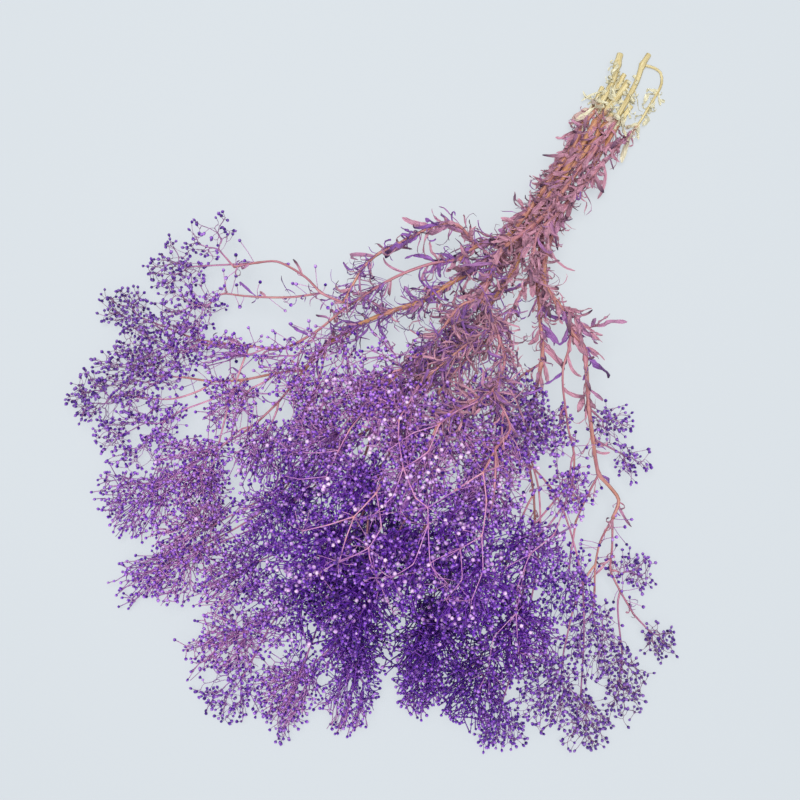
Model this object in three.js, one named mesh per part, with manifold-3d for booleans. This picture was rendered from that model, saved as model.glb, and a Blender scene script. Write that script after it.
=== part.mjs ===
// Dried broom bloom: seven cut, dyed flowering stems lying together on a table. Millimetres, +Z up,
// +Y along the stalks towards their cut ends.
import * as THREE from "three";
import Module from "manifold-3d";

const wasm = await Module();
wasm.setup();

// The bunch as a whole.
const SIGHT_HEIGHT = 750; // positions across the table are given as sighted from this height
const SIGHT_POINT = { x: -20, y: -21 }; // the point on the table below the eye
const SPACING = 0.4; // air kept between one grown piece and the next
const OWN_SPACING = 0.16; // air kept between the threads of one spray
const TOUCH = 0.01; // how much closer than that still passes for clear
const BUNDLE = { from: 95, whole: 130 }; // the stalks lie on each other where y is past these
const SETTLING = { rounds: 160, sink: 0.09, stiffness: 0.2 };
const BENDING = { rounds: 600, push: 0.55, floor: 1.05 }; // floor in radii of the limb

// Stalks and limbs.
const STALK_SIDES = 6;
const LIMB_SIDES = 4;
const SWELLING = 1.38; // stem thickness at a leaf joint, as a part of the stem's own
const SWELLING_REACH = 2.6;
const HOLLOW = { width: 0.6, depth: 1.4 }; // of a hollow cut end, in radii of the stalk
const STEM_ROUGHNESS = 0.8;

// Leaves: narrow, curled and brittle. Widths along a leaf are parts of its greatest; angles in radians.
const LEAF = {
  thickness: 0.75,
  widths: [0.45, 1, 0.85, 0.5],
  width: [1.9, 3.2],
  length: [0.7, 1.3],
  lean: [0.5, 1.4],
  twist: [1.2, 1.9],
  curl: [0.35, 0.95],
  root: [0.06, 0.26],
  roll: 1.4,
  moreRoll: 0.25,
  air: 0.2,
  tries: 20,
};

// The arm that carries each spray.
const ARM_ROOT_RADIUS = 1;
const ARM_LIFT = 0.1; // how far an arm bows upwards, as a part of its length
const ARM_BEND = 0.3; // where along it
const ARM_STEP = 32;
const ARM_CROOK = 6; // an arm leaves its limb at an angle this far, then bends over to its spray
const ARM_TILT = [0.68, 1.3];
const ARM_REACH = 0.85; // how far short of the spray's middle an arm ends, as a part of the spray's reach
const SEAT = { gap: 0.3, from: 0.7, to: 0.9, steps: 12, around: 8 }; // an arm's root beside its limb

// Sprays: buds on thread-thin stalks that fork.
const BUD_RADIUS = 1.35;
const BUD_LENGTH = 2.8;
const BUD_BELLY = 0.42; // place of the widest ring along the bud
const BUD_FLOOR = 1.1; // least height of a bud's middle, in bud radii
const NECK_RADIUS = 0.42;
const THREAD_RADIUS = 0.5;
const THREAD_CLEAR = 1.5; // how far from a fork its threads are apart, in their radii
const SPRAY_ROOT_RADIUS = 0.72;
const THINNING = 0.08; // from one fork to the next
const POINT_RISE = 0.9; // height of the three-sided point that ends a fork, in its radii
const SHORTEST_THREAD = 3.5;
const CROWN_THREAD = [4, 6.5];
const TILT = [0.38, 1.15]; // angles between a thread and the one that bears it
const FIRST_FORK = { tries: 60, share: 0.34 }; // share of the way to the middle of its buds
const LATER_FORK = { tries: 14, share: 0.46 };
const FORK_WANDER = { share: 0.12, aside: 0.9 };
const BUD_WANDER = 1.1;
const BUD_TRIES = 12;
const SPRAY_SEED = 1000;
const GROWTHS = 40; // most times one spray is grown over
const PLACE_TRIES = 24;
const TAPER = 0.45; // how much narrower a spray is towards its root
const SPRAY_ROUGHNESS = 0.85;

const TAN = "#c08a64";
const MAUVE = "#a9708c";
const VIOLET = "#6b35a3";

// Every stem: its limbs, stalk first, each a list of places [x, y, height] as sighted, and where its
// leaves sit. A limb after the first grows from the nearest place of the limbs before it.
const STEMS = [
  {
    name: "stem_1",
    colour: TAN,
    limbs: [
      {
        radii: [2.3, 1.25],
        joints: [1, 4, 8, 12],
        leaves: { from: 4, every: 1, length: 22, seed: 11 },
        path: [
          [-17, 238, 10], [-15, 231, 10], [-13, 222, 10], [-12, 207, 11], [-10, 190, 12], [-11, 170, 13],
          [-13, 150, 14], [-13, 134, 15.5], [-14, 118, 20], [-17, 102, 26], [-23, 95, 30], [-30, 86, 34],
          [-35, 73, 38],
        ],
      },
      {
        radii: [1.15, 0.95],
        leaves: { from: 1, every: 1, pairs: true, length: 24, seed: 12 },
        path: [
          [-30, 86, 34], [-38, 89, 36], [-46, 91, 39], [-58, 84, 43], [-65, 74, 46], [-72, 62, 47],
          [-80, 49, 46], [-83, 37, 44], [-83, 24, 41], [-82, 12, 38],
        ],
      },
      {
        radii: [0.95, 0.75],
        leaves: { from: 2, every: 3, length: 18, seed: 13 },
        path: [
          [-82, 12, 38], [-97, 10, 36], [-110, 13, 37], [-131, 12, 35], [-141, 5, 32], [-152, -5, 28],
        ],
      },
      {
        radii: [0.85, 0.7],
        leaves: { from: 2, every: 2, length: 10, seed: 14 },
        path: [[-97, 10, 36], [-110, -1, 32], [-124, -10, 28], [-137, -17, 24], [-148, -22, 20]],
      },
      {
        radii: [1.15, 0.8],
        leaves: { from: 1, every: 1, length: 23, seed: 15 },
        path: [
          [-35, 73, 38], [-48, 62, 38], [-58, 50, 37], [-64, 41, 36], [-71, 28, 34], [-80, 8, 31],
          [-87, -12, 29], [-100, -33, 26], [-118, -42, 22], [-132, -49, 19], [-148, -56, 16],
        ],
      },
    ],
  },
  {
    name: "stem_2",
    colour: TAN,
    limbs: [
      {
        radii: [2.3, 1.3],
        hollow: true,
        joints: [3, 7, 12],
        leaves: { from: 4, every: 1, length: 24, seed: 21 },
        path: [
          [-1, 227, 14], [-4, 216, 12], [-5, 203, 10], [-6, 190, 8.5], [-6, 170, 8], [-8, 150, 8.5],
          [-9, 130, 10], [-9, 112, 15], [-13, 95, 22], [-22, 76, 28], [-33, 55, 31], [-40, 40, 32],
          [-55, 22, 31], [-68, 3, 28], [-77, -16, 25], [-81, -37, 23],
        ],
      },
      {
        radii: [1.05, 0.75],
        leaves: { from: 2, every: 2, length: 9, seed: 22 },
        path: [[-81, -37, 23], [-95, -48, 22], [-110, -62, 20], [-126, -73, 18], [-142, -80, 16]],
      },
      {
        radii: [0.9, 0.75],
        path: [[-81, -37, 23], [-84, -62, 24], [-90, -84, 24], [-100, -105, 22]],
      },
    ],
  },
  {
    name: "stem_3",
    colour: MAUVE,
    limbs: [
      {
        radii: [1.9, 1.45],
        joints: [1, 5, 8, 13],
        leaves: { from: 5, every: 1, length: 23, seed: 31 },
        path: [
          [-1.5, 246, 6], [-1.5, 238, 6], [-1, 228, 5.5], [0, 214, 5], [-1, 190, 5], [-1, 170, 5.5],
          [-2, 150, 8.5], [-4, 130, 13], [-9, 113, 27], [-14, 98, 38], [-15, 85, 46], [-12, 70, 54],
          [-11, 59, 60],
        ],
      },
      {
        radii: [1.1, 0.8],
        leaves: { from: 7, every: 2, length: 20, seed: 32 },
        path: [
          [-1.5, 238, 6], [6, 241, 7], [11, 241, 8], [15, 236, 9], [16, 222, 10], [16, 205, 11],
          [13, 190, 12], [11, 175, 13], [8, 160, 14], [5, 147, 15], [3, 131, 21], [-2, 114, 31],
          [3, 100, 40], [8, 88, 46], [9, 75, 51], [10, 58, 55], [6, 38, 58], [1, 18, 59], [-2, -4, 60],
        ],
      },
      {
        radii: [1.15, 0.8],
        leaves: { from: 1, every: 1, length: 23, seed: 33 },
        path: [
          [-11, 59, 60], [-19, 49, 63], [-21, 30, 63], [-23, 12, 61], [-28, -3, 58], [-33, -22, 55],
        ],
      },
      {
        radii: [1.3, 0.85],
        leaves: { from: 2, every: 2, length: 22, seed: 34 },
        path: [
          [-11, 59, 60], [0, 54, 66], [6, 50, 69], [14, 43, 72], [21, 38, 74], [25, 28, 77],
          [26, 15, 80], [20, 4, 83], [12, -8, 86], [8, -22, 88],
        ],
      },
      {
        radii: [0.85, 0.7],
        path: [[26, 15, 80], [38, 8, 83], [48, 0, 84], [47, -16, 84], [48, -32, 83]],
      },
      {
        radii: [0.8, 0.65],
        path: [[6, 50, 69], [0, 38, 71], [-5, 25, 73], [-9, 13, 75], [-14, -2, 77]],
      },
    ],
  },
  {
    name: "stem_4",
    colour: TAN,
    limbs: [
      {
        radii: [1.8, 1.2],
        joints: [1, 5, 9],
        leaves: { from: 2, every: 2, length: 22, seed: 41 },
        path: [
          [-2, 204, 15], [-4, 190, 15.5], [-3, 175, 15.5], [-6, 158, 16], [-8, 140, 18], [-8, 124, 21],
          [-5, 106, 22], [-3, 88, 25], [-3, 70, 29], [-4, 50, 34], [-6, 30, 38], [-11, 8, 42],
          [-15, -14, 45],
        ],
      },
      {
        radii: [0.95, 0.7],
        path: [
          [-15, -14, 45], [-12, -34, 49], [-9, -44, 51], [-8, -60, 54], [-6, -80, 57], [-7, -97, 59],
        ],
      },
      {
        radii: [0.85, 0.65],
        path: [[-9, -44, 51], [5, -58, 55], [22, -70, 58], [35, -78, 60]],
      },
      {
        radii: [0.95, 0.75],
        path: [[-11, 8, 42], [-24, -18, 42], [-36, -44, 40], [-38, -68, 37]],
      },
    ],
  },
  {
    name: "stem_5",
    colour: TAN,
    limbs: [
      {
        radii: [1.8, 1.15],
        joints: [4, 8, 12, 17],
        leaves: { from: 3, every: 2, length: 20, seed: 51 },
        path: [
          [6, 212, 4], [5, 195, 3.5], [5, 175, 3.5], [5, 155, 4.5], [4, 136, 9], [6, 116, 17],
          [12, 99, 25], [19, 88, 30], [32, 82, 34], [40, 78, 36], [48, 72, 37], [60, 68, 38],
          [65, 62, 38], [75, 48, 36], [83, 37, 34], [95, 22, 30], [105, 10, 27], [110, 5, 26],
          [120, 2, 24], [129, -2, 22], [132, -14, 20],
        ],
      },
      {
        radii: [0.85, 0.7],
        path: [[132, -14, 20], [133, -30, 18], [138, -44, 16], [146, -58, 15]],
      },
      {
        radii: [0.85, 0.7],
        path: [[132, -14, 20], [141, -29, 18], [148, -42, 16], [160, -50, 14], [175, -58, 12]],
      },
      {
        radii: [0.85, 0.7],
        path: [[110, 5, 26], [111, -10, 27], [113, -28, 27]],
      },
      {
        radii: [0.85, 0.7],
        leaves: { from: 1, every: 1, length: 17, seed: 52 },
        path: [
          [48, 72, 37], [53, 61, 40], [56, 50, 42], [62, 40, 42], [70, 30, 42], [80, 18, 41],
          [90, 8, 40], [98, -6, 39], [102, -22, 38],
        ],
      },
      {
        radii: [0.6, 0.45],
        leaves: { from: 1, every: 2, length: 10, seed: 53 },
        path: [[32, 82, 34], [42, 82, 38], [52, 79, 40], [57, 80, 41], [61, 85, 42]],
      },
    ],
  },
  {
    name: "stem_6",
    colour: TAN,
    limbs: [
      {
        radii: [1.7, 1.15],
        level: 4,
        joints: [5, 9],
        leaves: { from: 5, every: 2, length: 22, seed: 61 },
        path: [
          [-8, 226, 0], [-8, 214, 0], [-7, 190, 0], [-6, 168, 0], [-6, 150, 0], [-1, 130, 4],
          [2, 112, 9], [8, 98, 15], [14, 87, 19], [22, 77, 22], [30, 65, 25], [37, 56, 27],
          [43, 45, 29], [47, 34, 30], [51, 24, 30],
        ],
      },
      {
        radii: [1.05, 0.8],
        path: [[51, 24, 30], [56, 10, 26], [62, -4, 24], [70, -13, 23], [82, -27, 22], [91, -40, 22]],
      },
      {
        radii: [0.95, 0.75],
        leaves: { from: 1, every: 1, length: 20, seed: 62 },
        path: [[43, 45, 29], [36, 30, 24], [34, 12, 20], [40, -10, 18], [48, -34, 18], [55, -58, 18]],
      },
    ],
  },
  {
    name: "stem_7",
    colour: TAN,
    limbs: [
      {
        radii: [1.7, 1.1],
        joints: [3, 7],
        leaves: { from: 4, every: 2, length: 24, seed: 71 },
        path: [
          [-14, 213, 4], [-13, 195, 4], [-14, 175, 4], [-14, 155, 4.5], [-12, 136, 5], [-11, 116, 7],
          [-12, 96, 10], [-14, 75, 13], [-15, 52, 15], [-15, 30, 17], [-16, 8, 18], [-20, -16, 19],
          [-25, -42, 20],
        ],
      },
      {
        radii: [1, 0.75],
        path: [[-25, -42, 20], [-38, -70, 19], [-52, -98, 18], [-62, -122, 17]],
      },
      {
        radii: [1, 0.75],
        path: [[-25, -42, 20], [-18, -72, 20], [-10, -104, 19], [-4, -134, 17], [-6, -158, 14]],
      },
      {
        radii: [0.95, 0.75],
        path: [[-18, -72, 20], [2, -92, 20], [22, -116, 19], [34, -140, 17]],
      },
    ],
  },
];

// Every spray: the stem it grows on, the place of that stem nearest to which its own limb starts,
// the middle of the spray [x, y, height], its reach ahead, across and up, its buds, and whether its
// lowest bud rests on the table.
const SPRAYS = [
  { stem: 1, from: [-152, -5], middle: [-175, 2, 27], reach: [14, 17, 8], buds: 7 },
  { stem: 1, from: [-152, -5], middle: [-182, -24, 14], reach: [19, 15, 12], buds: 9 },
  { stem: 1, from: [-148, -22], middle: [-161, -42, 20], reach: [22, 20, 15], buds: 11 },
  { stem: 1, from: [-132, -49], middle: [-163, -68, 18], reach: [26, 20, 15], buds: 11, rests: true },
  { stem: 1, from: [-148, -56], middle: [-193, -64, 9], reach: [18, 13, 8], buds: 9 },
  { stem: 2, from: [-68, 3], middle: [-70, -22, 38], reach: [22, 18, 12], buds: 10 },
  { stem: 2, from: [-126, -73], middle: [-181, -120, 11], reach: [19, 15, 10], buds: 10, rests: true },
  { stem: 2, from: [-110, -62], middle: [-146, -120, 17], reach: [28, 20, 15], buds: 10 },
  { stem: 2, from: [-100, -105], middle: [-126, -157, 13], reach: [26, 20, 12], buds: 11 },
  { stem: 7, from: [-52, -98], middle: [-97, -199, 9], reach: [24, 13, 8], buds: 10, rests: true },
  { stem: 7, from: [-62, -122], middle: [-84, -158, 24], reach: [24, 20, 17], buds: 11 },
  { stem: 2, from: [-100, -105], middle: [-108, -124, 30], reach: [22, 20, 15], buds: 11 },
  { stem: 2, from: [-95, -48], middle: [-110, -78, 26], reach: [18, 16, 12], buds: 8 },
  { stem: 2, from: [-84, -62], middle: [-76, -92, 36], reach: [22, 18, 16], buds: 10 },
  { stem: 2, from: [-77, -16], middle: [-66, -46, 42], reach: [22, 18, 15], buds: 11 },
  { stem: 3, from: [-28, -3], middle: [-44, -32, 58], reach: [20, 17, 13], buds: 11 },
  { stem: 3, from: [-33, -22], middle: [-48, -72, 60], reach: [26, 20, 18], buds: 10 },
  { stem: 4, from: [-38, -68], middle: [-46, -116, 48], reach: [28, 21, 20], buds: 10 },
  { stem: 7, from: [-62, -122], middle: [-50, -166, 24], reach: [25, 20, 16], buds: 11 },
  { stem: 7, from: [-6, -158], middle: [-32, -204, 15], reach: [25, 20, 12], buds: 11 },
  { stem: 7, from: [-6, -158], middle: [-14, -230, 8], reach: [19, 20, 7], buds: 11, rests: true },
  { stem: 7, from: [-6, -158], middle: [16, -208, 15], reach: [24, 18, 11], buds: 11 },
  { stem: 7, from: [34, -140], middle: [50, -192, 12], reach: [25, 16, 11], buds: 11, rests: true },
  { stem: 7, from: [-10, -104], middle: [-8, -164, 42], reach: [24, 22, 18], buds: 10 },
  { stem: 4, from: [-7, -97], middle: [-14, -126, 74], reach: [25, 23, 21], buds: 12 },
  { stem: 4, from: [-8, -60], middle: [-16, -80, 80], reach: [20, 18, 14], buds: 10 },
  { stem: 3, from: [-14, -2], middle: [-18, -32, 84], reach: [22, 18, 13], buds: 11 },
  { stem: 3, from: [8, -22], middle: [14, -58, 96], reach: [24, 19, 14], buds: 11 },
  { stem: 4, from: [35, -78], middle: [34, -106, 88], reach: [26, 23, 20], buds: 12 },
  { stem: 4, from: [22, -70], middle: [24, -142, 62], reach: [27, 23, 21], buds: 10 },
  { stem: 6, from: [47, 34], middle: [44, 12, 48], reach: [22, 20, 12], buds: 10 },
  { stem: 6, from: [51, 24], middle: [58, 6, 42], reach: [20, 19, 13], buds: 11 },
  { stem: 3, from: [48, -32], middle: [52, -62, 88], reach: [25, 19, 15], buds: 11 },
  { stem: 3, from: [47, -16], middle: [82, -96, 78], reach: [27, 22, 19], buds: 11 },
  { stem: 6, from: [55, -58], middle: [74, -138, 46], reach: [27, 22, 20], buds: 11 },
  { stem: 5, from: [83, 37], middle: [99, 34, 24], reach: [12, 12, 9], buds: 8 },
  { stem: 5, from: [95, 22], middle: [123, 24, 14], reach: [11, 10, 7], buds: 6 },
  { stem: 5, from: [90, 8], middle: [97, -14, 46], reach: [17, 15, 9], buds: 7 },
  { stem: 5, from: [102, -22], middle: [98, -60, 52], reach: [25, 20, 15], buds: 10 },
  { stem: 6, from: [91, -40], middle: [118, -106, 42], reach: [28, 23, 21], buds: 11 },
  { stem: 6, from: [82, -27], middle: [112, -146, 17], reach: [24, 20, 14], buds: 10 },
  { stem: 5, from: [148, -42], middle: [160, -35, 11], reach: [12, 11, 9], buds: 8 },
  { stem: 5, from: [113, -28], middle: [129, -64, 24], reach: [21, 17, 13], buds: 10 },
  { stem: 5, from: [146, -58], middle: [160, -84, 18], reach: [23, 18, 13], buds: 10 },
  { stem: 5, from: [138, -44], middle: [154, -122, 18], reach: [26, 20, 14], buds: 11 },
  { stem: 5, from: [175, -58], middle: [197, -64, 7], reach: [12, 11, 5], buds: 6 },
  { stem: 5, from: [160, -50], middle: [190, -96, 9], reach: [22, 13, 8], buds: 10, rests: true },
  { stem: 6, from: [70, -13], middle: [184, -130, 9], reach: [17, 14, 8], buds: 9, rests: true },
  { stem: 6, from: [55, -58], middle: [84, -164, 13], reach: [20, 16, 10], buds: 10 },
  { stem: 6, from: [91, -40], middle: [140, -160, 10], reach: [17, 14, 9], buds: 9, rests: true },
  { stem: 3, from: [6, 38], middle: [26, 2, 66], reach: [22, 18, 12], buds: 10 },
  { stem: 3, from: [-2, -4], middle: [20, -20, 72], reach: [24, 18, 12], buds: 11 },
  { stem: 3, from: [48, 0], middle: [50, -24, 66], reach: [22, 20, 14], buds: 11 },
];

// Plain vector steps.
const add = (a, b, t = 1) => [a[0] + b[0] * t, a[1] + b[1] * t, a[2] + b[2] * t];
const minus = (a, b) => [a[0] - b[0], a[1] - b[1], a[2] - b[2]];
const dot = (a, b) => a[0] * b[0] + a[1] * b[1] + a[2] * b[2];
const cross = (a, b) => [
  a[1] * b[2] - a[2] * b[1],
  a[2] * b[0] - a[0] * b[2],
  a[0] * b[1] - a[1] * b[0],
];
const size = (a) => Math.sqrt(dot(a, a));
const times = (a, t) => [a[0] * t, a[1] * t, a[2] * t];
const unit = (a) => times(a, 1 / (size(a) || 1));
const mix = (a, b, t) => add(a, minus(b, a), t);
const between = (random, [low, high]) => low + random() * (high - low);
const anyWay = (random) => [random() - 0.5, random() - 0.5, random() - 0.5];
const UP = [0, 0, 1];
const TINY = 1e-9;

function turned(vector, axis, angle) {
  const cosine = Math.cos(angle);
  const along = times(axis, dot(axis, vector) * (1 - cosine));
  const around = times(cross(axis, vector), Math.sin(angle));
  return add(add(along, vector, cosine), around);
}

function seeded(seed) {
  let state = seed >>> 0;
  return () => {
    state = (state + 0x6d2b79f5) >>> 0;
    let mixed = Math.imul(state ^ (state >>> 15), state | 1);
    mixed ^= mixed + Math.imul(mixed ^ (mixed >>> 7), mixed | 61);
    return ((mixed ^ (mixed >>> 14)) >>> 0) / 4294967296;
  };
}

// A place given as sighted, put at its true place for its height.
function placed([x, y, height]) {
  const pull = 1 - height / SIGHT_HEIGHT;
  return [SIGHT_POINT.x + (x - SIGHT_POINT.x) * pull, SIGHT_POINT.y + (y - SIGHT_POINT.y) * pull, height];
}

// The nearest approach of two straight stretches: the distance and the place on each, from 0 to 1.
function approach(a, b, c, d) {
  const first = minus(b, a);
  const second = minus(d, c);
  const offset = minus(a, c);
  const firstSquare = dot(first, first) || TINY;
  const secondSquare = dot(second, second) || TINY;
  const both = dot(first, second);
  const firstOffset = dot(first, offset);
  const secondOffset = dot(second, offset);
  const clamp = (t) => Math.min(1, Math.max(0, t));
  const spread = firstSquare * secondSquare - both * both;
  let s = spread > TINY ? clamp((both * secondOffset - firstOffset * secondSquare) / spread) : 0.5;
  let t = (both * s + secondOffset) / secondSquare;
  if (t < 0 || t > 1) {
    t = clamp(t);
    s = clamp((both * t - firstOffset) / firstSquare);
  }
  const apart = minus(add(a, first, s), add(c, second, t));
  return { distance: size(apart), apart, s, t };
}

// Every stretch laid so far, of every piece.
const stretches = [];

function isClear(a, b, radius, owner, joined) {
  return stretches.every((other) => {
    if (joined.includes(other)) return true;
    const need = radius + other.radius + (other.owner === owner ? OWN_SPACING : SPACING);
    for (let axis = 0; axis < 3; axis += 1) {
      if (Math.min(a[axis], b[axis]) > Math.max(other.a[axis], other.b[axis]) + need) return true;
      if (Math.max(a[axis], b[axis]) < Math.min(other.a[axis], other.b[axis]) - need) return true;
    }
    return approach(a, b, other.a, other.b).distance > need;
  });
}

function lay(a, b, radius, owner) {
  const stretch = { a, b, radius, owner };
  stretches.push(stretch);
  return stretch;
}

// Limbs as chains of shared places, so that a limb keeps its root when the one it grows from is bent.
function chainsOf(stem) {
  const chains = [];
  stem.limbs.forEach((limb, order) => {
    const sides = order === 0 ? STALK_SIDES : LIMB_SIDES;
    const last = limb.path.length - 1;
    const radii = limb.path.map((place, i) => limb.radii[0] + (limb.radii[1] - limb.radii[0]) * (i / last));
    const flat = Math.cos(Math.PI / STALK_SIDES);
    const places = limb.path.map((place, i) => {
      const level = limb.level !== undefined && i <= limb.level;
      if (level) radii[i] = limb.radii[0];
      const [x, y, z] = placed([place[0], place[1], level ? radii[i] * flat : place[2]]);
      return { at: [x, y, z], held: level, joint: (limb.joints || []).includes(i) };
    });
    if (order > 0) places[0] = nearestPlace(chains, places[0].at);
    chains.push({ places, radii, sides, limb });
  });
  return chains;
}

function nearestPlace(chains, target, fits = () => true) {
  const all = chains.flatMap((chain) => chain.places).filter(fits);
  const far = (place) => Math.hypot(place.at[0] - target[0], place.at[1] - target[1]);
  return all.reduce((best, place) => (far(place) < far(best) ? place : best));
}

// The arm that carries a spray: it leaves along the limb it grows from and bends over to the spray.
function armOf(chains, spray) {
  const root = nearestPlace(chains, placed([...spray.from, 0]), (place) => !place.bears);
  root.bears = true;
  const chain = chains.find((one) => one.places.includes(root) && one.places.indexOf(root) > 0);
  const index = chain.places.indexOf(root);
  const along = unit(minus(root.at, chain.places[index - 1].at));
  const middle = placed(spray.middle);
  const way = minus(middle, root.at);
  const foot = add(middle, unit(way), -spray.reach[0] * ARM_REACH);
  const short = size(minus(foot, root.at)) < ARM_CROOK;
  const tip = short ? add(root.at, unit(add(unit(way), along, 0.6)), ARM_CROOK) : foot;
  const run = size(minus(tip, root.at));
  const ends = index === chain.places.length - 1 && chains.every((other) => other.places[0] !== root);
  const leaving = tilted(unit(way), along, ends ? 0 : ARM_TILT[0], ARM_TILT[1]);
  const crook = ends ? root : { at: add(root.at, leaving, ARM_CROOK), held: false };
  const bend = add(add(crook.at, leaving, run * ARM_BEND), UP, run * ARM_LIFT);
  const steps = Math.max(1, Math.round(run / ARM_STEP));
  const places = ends ? [root] : [root, crook];
  for (let step = 1; step <= steps; step += 1) {
    const t = step / steps;
    places.push({ at: mix(mix(crook.at, bend, t), mix(bend, tip, t), t), held: false });
  }
  const last = places.length - 1;
  const thinning = ARM_ROOT_RADIUS - SPRAY_ROOT_RADIUS;
  const radii = places.map((place, i) => ARM_ROOT_RADIUS - thinning * (i / last));
  return { places, radii, limbWay: along };
}

// In the bundle the stalks sink onto each other, as stiff rods would.
function sink(chain) {
  const heights = chain.places.map((place) => place.at[2]);
  chain.places.forEach((place, i) => {
    if (place.held) return;
    const share = (place.at[1] - BUNDLE.from) / (BUNDLE.whole - BUNDLE.from);
    const weight = Math.min(1, Math.max(0, share));
    const even = i > 0 && i < heights.length - 1 ? (heights[i - 1] + heights[i + 1]) / 2 : heights[i];
    const bend = (even - heights[i]) * SETTLING.stiffness;
    place.at = add(place.at, UP, weight * (bend - SETTLING.sink));
  });
}

// Limbs and arms that come too near are bent apart, and nothing sinks into the table.
function bendClear(grown) {
  const spansOf = (chain, owner) => chain.places.flatMap((place, i) => {
    const swollen = { owner, a: place, b: place, radius: chain.radii[i] * SWELLING };
    const before = chain.places[i - 1];
    const radius = Math.max(chain.radii[i], chain.radii[Math.max(0, i - 1)]);
    return [...(place.joint ? [swollen] : []), ...(before ? [{ owner, a: before, b: place, radius }] : [])];
  });
  const spans = grown.flatMap((chains, owner) => chains.flatMap((chain) => spansOf(chain, owner)));
  const shift = (place, way, amount) => {
    if (!place.held) place.at = add(place.at, way, amount);
  };
  for (let round = 0; round < BENDING.rounds; round += 1) {
    if (round < SETTLING.rounds) grown.flat().forEach(sink);
    let touched = 0;
    for (let i = 0; i < spans.length; i += 1) {
      for (let j = i + 1; j < spans.length; j += 1) {
        const [one, two] = [spans[i], spans[j]];
        if (one.owner === two.owner || one.a === two.a || one.a === two.b || one.b === two.a) continue;
        const need = one.radius + two.radius + SPACING;
        const near = approach(one.a.at, one.b.at, two.a.at, two.b.at);
        if (near.distance >= need - TOUCH) continue;
        touched += 1;
        const way = near.distance > TINY ? unit(near.apart) : UP;
        const push = (need - near.distance) * BENDING.push;
        shift(one.a, way, push * (1 - near.s));
        shift(one.b, way, push * near.s);
        shift(two.a, way, -push * (1 - near.t));
        shift(two.b, way, -push * near.t);
      }
    }
    spans.forEach((span) => [span.a, span.b].forEach((place) => {
      const floor = span.radius * BENDING.floor;
      if (!place.held && place.at[2] < floor) place.at = [place.at[0], place.at[1], floor];
    }));
    if (touched === 0 && round >= SETTLING.rounds) break;
  }
  spans.forEach((span) => lay(span.a.at, span.b.at, span.radius, span.owner));
}

// How far a place is from a triangle that it lies straight above or below.
function heightAbove(place, [p, q, r]) {
  const normal = unit(cross(minus(q, p), minus(r, p)));
  const height = dot(minus(place, p), normal);
  const foot = add(place, normal, -height);
  const edges = [[p, q], [q, r], [r, p]];
  const inside = edges.every(([a, b]) => dot(cross(minus(b, a), minus(foot, a)), normal) >= 0);
  return inside ? Math.abs(height) : Infinity;
}

// The gap between two lists of triangles, of which only those near the first list count.
function gapBetween(some, others) {
  const here = some[0][0];
  const near = others.filter((face) => [0, 1, 2].every((axis) => {
    const spread = face.map((place) => place[axis] - here[axis]);
    return Math.min(...spread) < SEAT.around && Math.max(...spread) > -SEAT.around;
  }));
  const edges = (face) => [[face[0], face[1]], [face[1], face[2]], [face[2], face[0]]];
  let least = Infinity;
  some.forEach((one) => near.forEach((two) => {
    edges(one).forEach(([a, b]) => edges(two).forEach(([c, d]) => {
      least = Math.min(least, approach(a, b, c, d).distance);
    }));
    one.forEach((place) => { least = Math.min(least, heightAbove(place, two)); });
    two.forEach((place) => { least = Math.min(least, heightAbove(place, one)); });
  }));
  return least;
}

// The three corners of a ring round a place, the first of them towards a given side.
function ringRound(at, way, radius, first) {
  const spoke = unit(add(first, way, -dot(first, way)));
  return [0, 1, 2].map((k) => add(at, turned(spoke, way, (k * 2 * Math.PI) / 3), radius));
}

// The rings of an arm, which starts just clear of the limb that bears it.
function armRings(arm, limbFaces) {
  const spots = arm.places.map((place) => place.at);
  const ways = spots.slice(1).map((spot, i) => unit(minus(spot, spots[i])));
  const first = size(minus(spots[1], spots[0]));
  const spoke = times(arm.limbWay, -1);
  const far = ringRound(add(spots[0], ways[0], first * SEAT.to), ways[0], arm.radii[0], spoke);
  let start = Math.min(first, ARM_CROOK) * SEAT.from;
  for (let step = 0; step < SEAT.steps; step += 1) {
    const base = ringRound(add(spots[0], ways[0], start), ways[0], arm.radii[0], spoke);
    const sides = base.map((corner, k) => [corner, base[(k + 1) % 3], far[k]]);
    const gap = gapBetween([base, ...sides], limbFaces);
    if (gap < SEAT.gap + TOUCH) break;
    start -= gap - SEAT.gap;
  }
  return spots.map((spot, i) => {
    const before = ways[Math.max(0, i - 1)];
    const after = ways[Math.min(i, ways.length - 1)];
    const at = i === 0 ? add(spot, ways[0], start) : spot;
    return { at, way: unit(add(before, after)), radius: arm.radii[i], spoke };
  });
}

// A closed solid from corner places and triangles.
function solid(corners, triangles) {
  return new wasm.Manifold(new wasm.Mesh({
    numProp: 3,
    vertProperties: new Float32Array(corners.flat()),
    triVerts: new Uint32Array(triangles.flat()),
  }));
}

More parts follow.
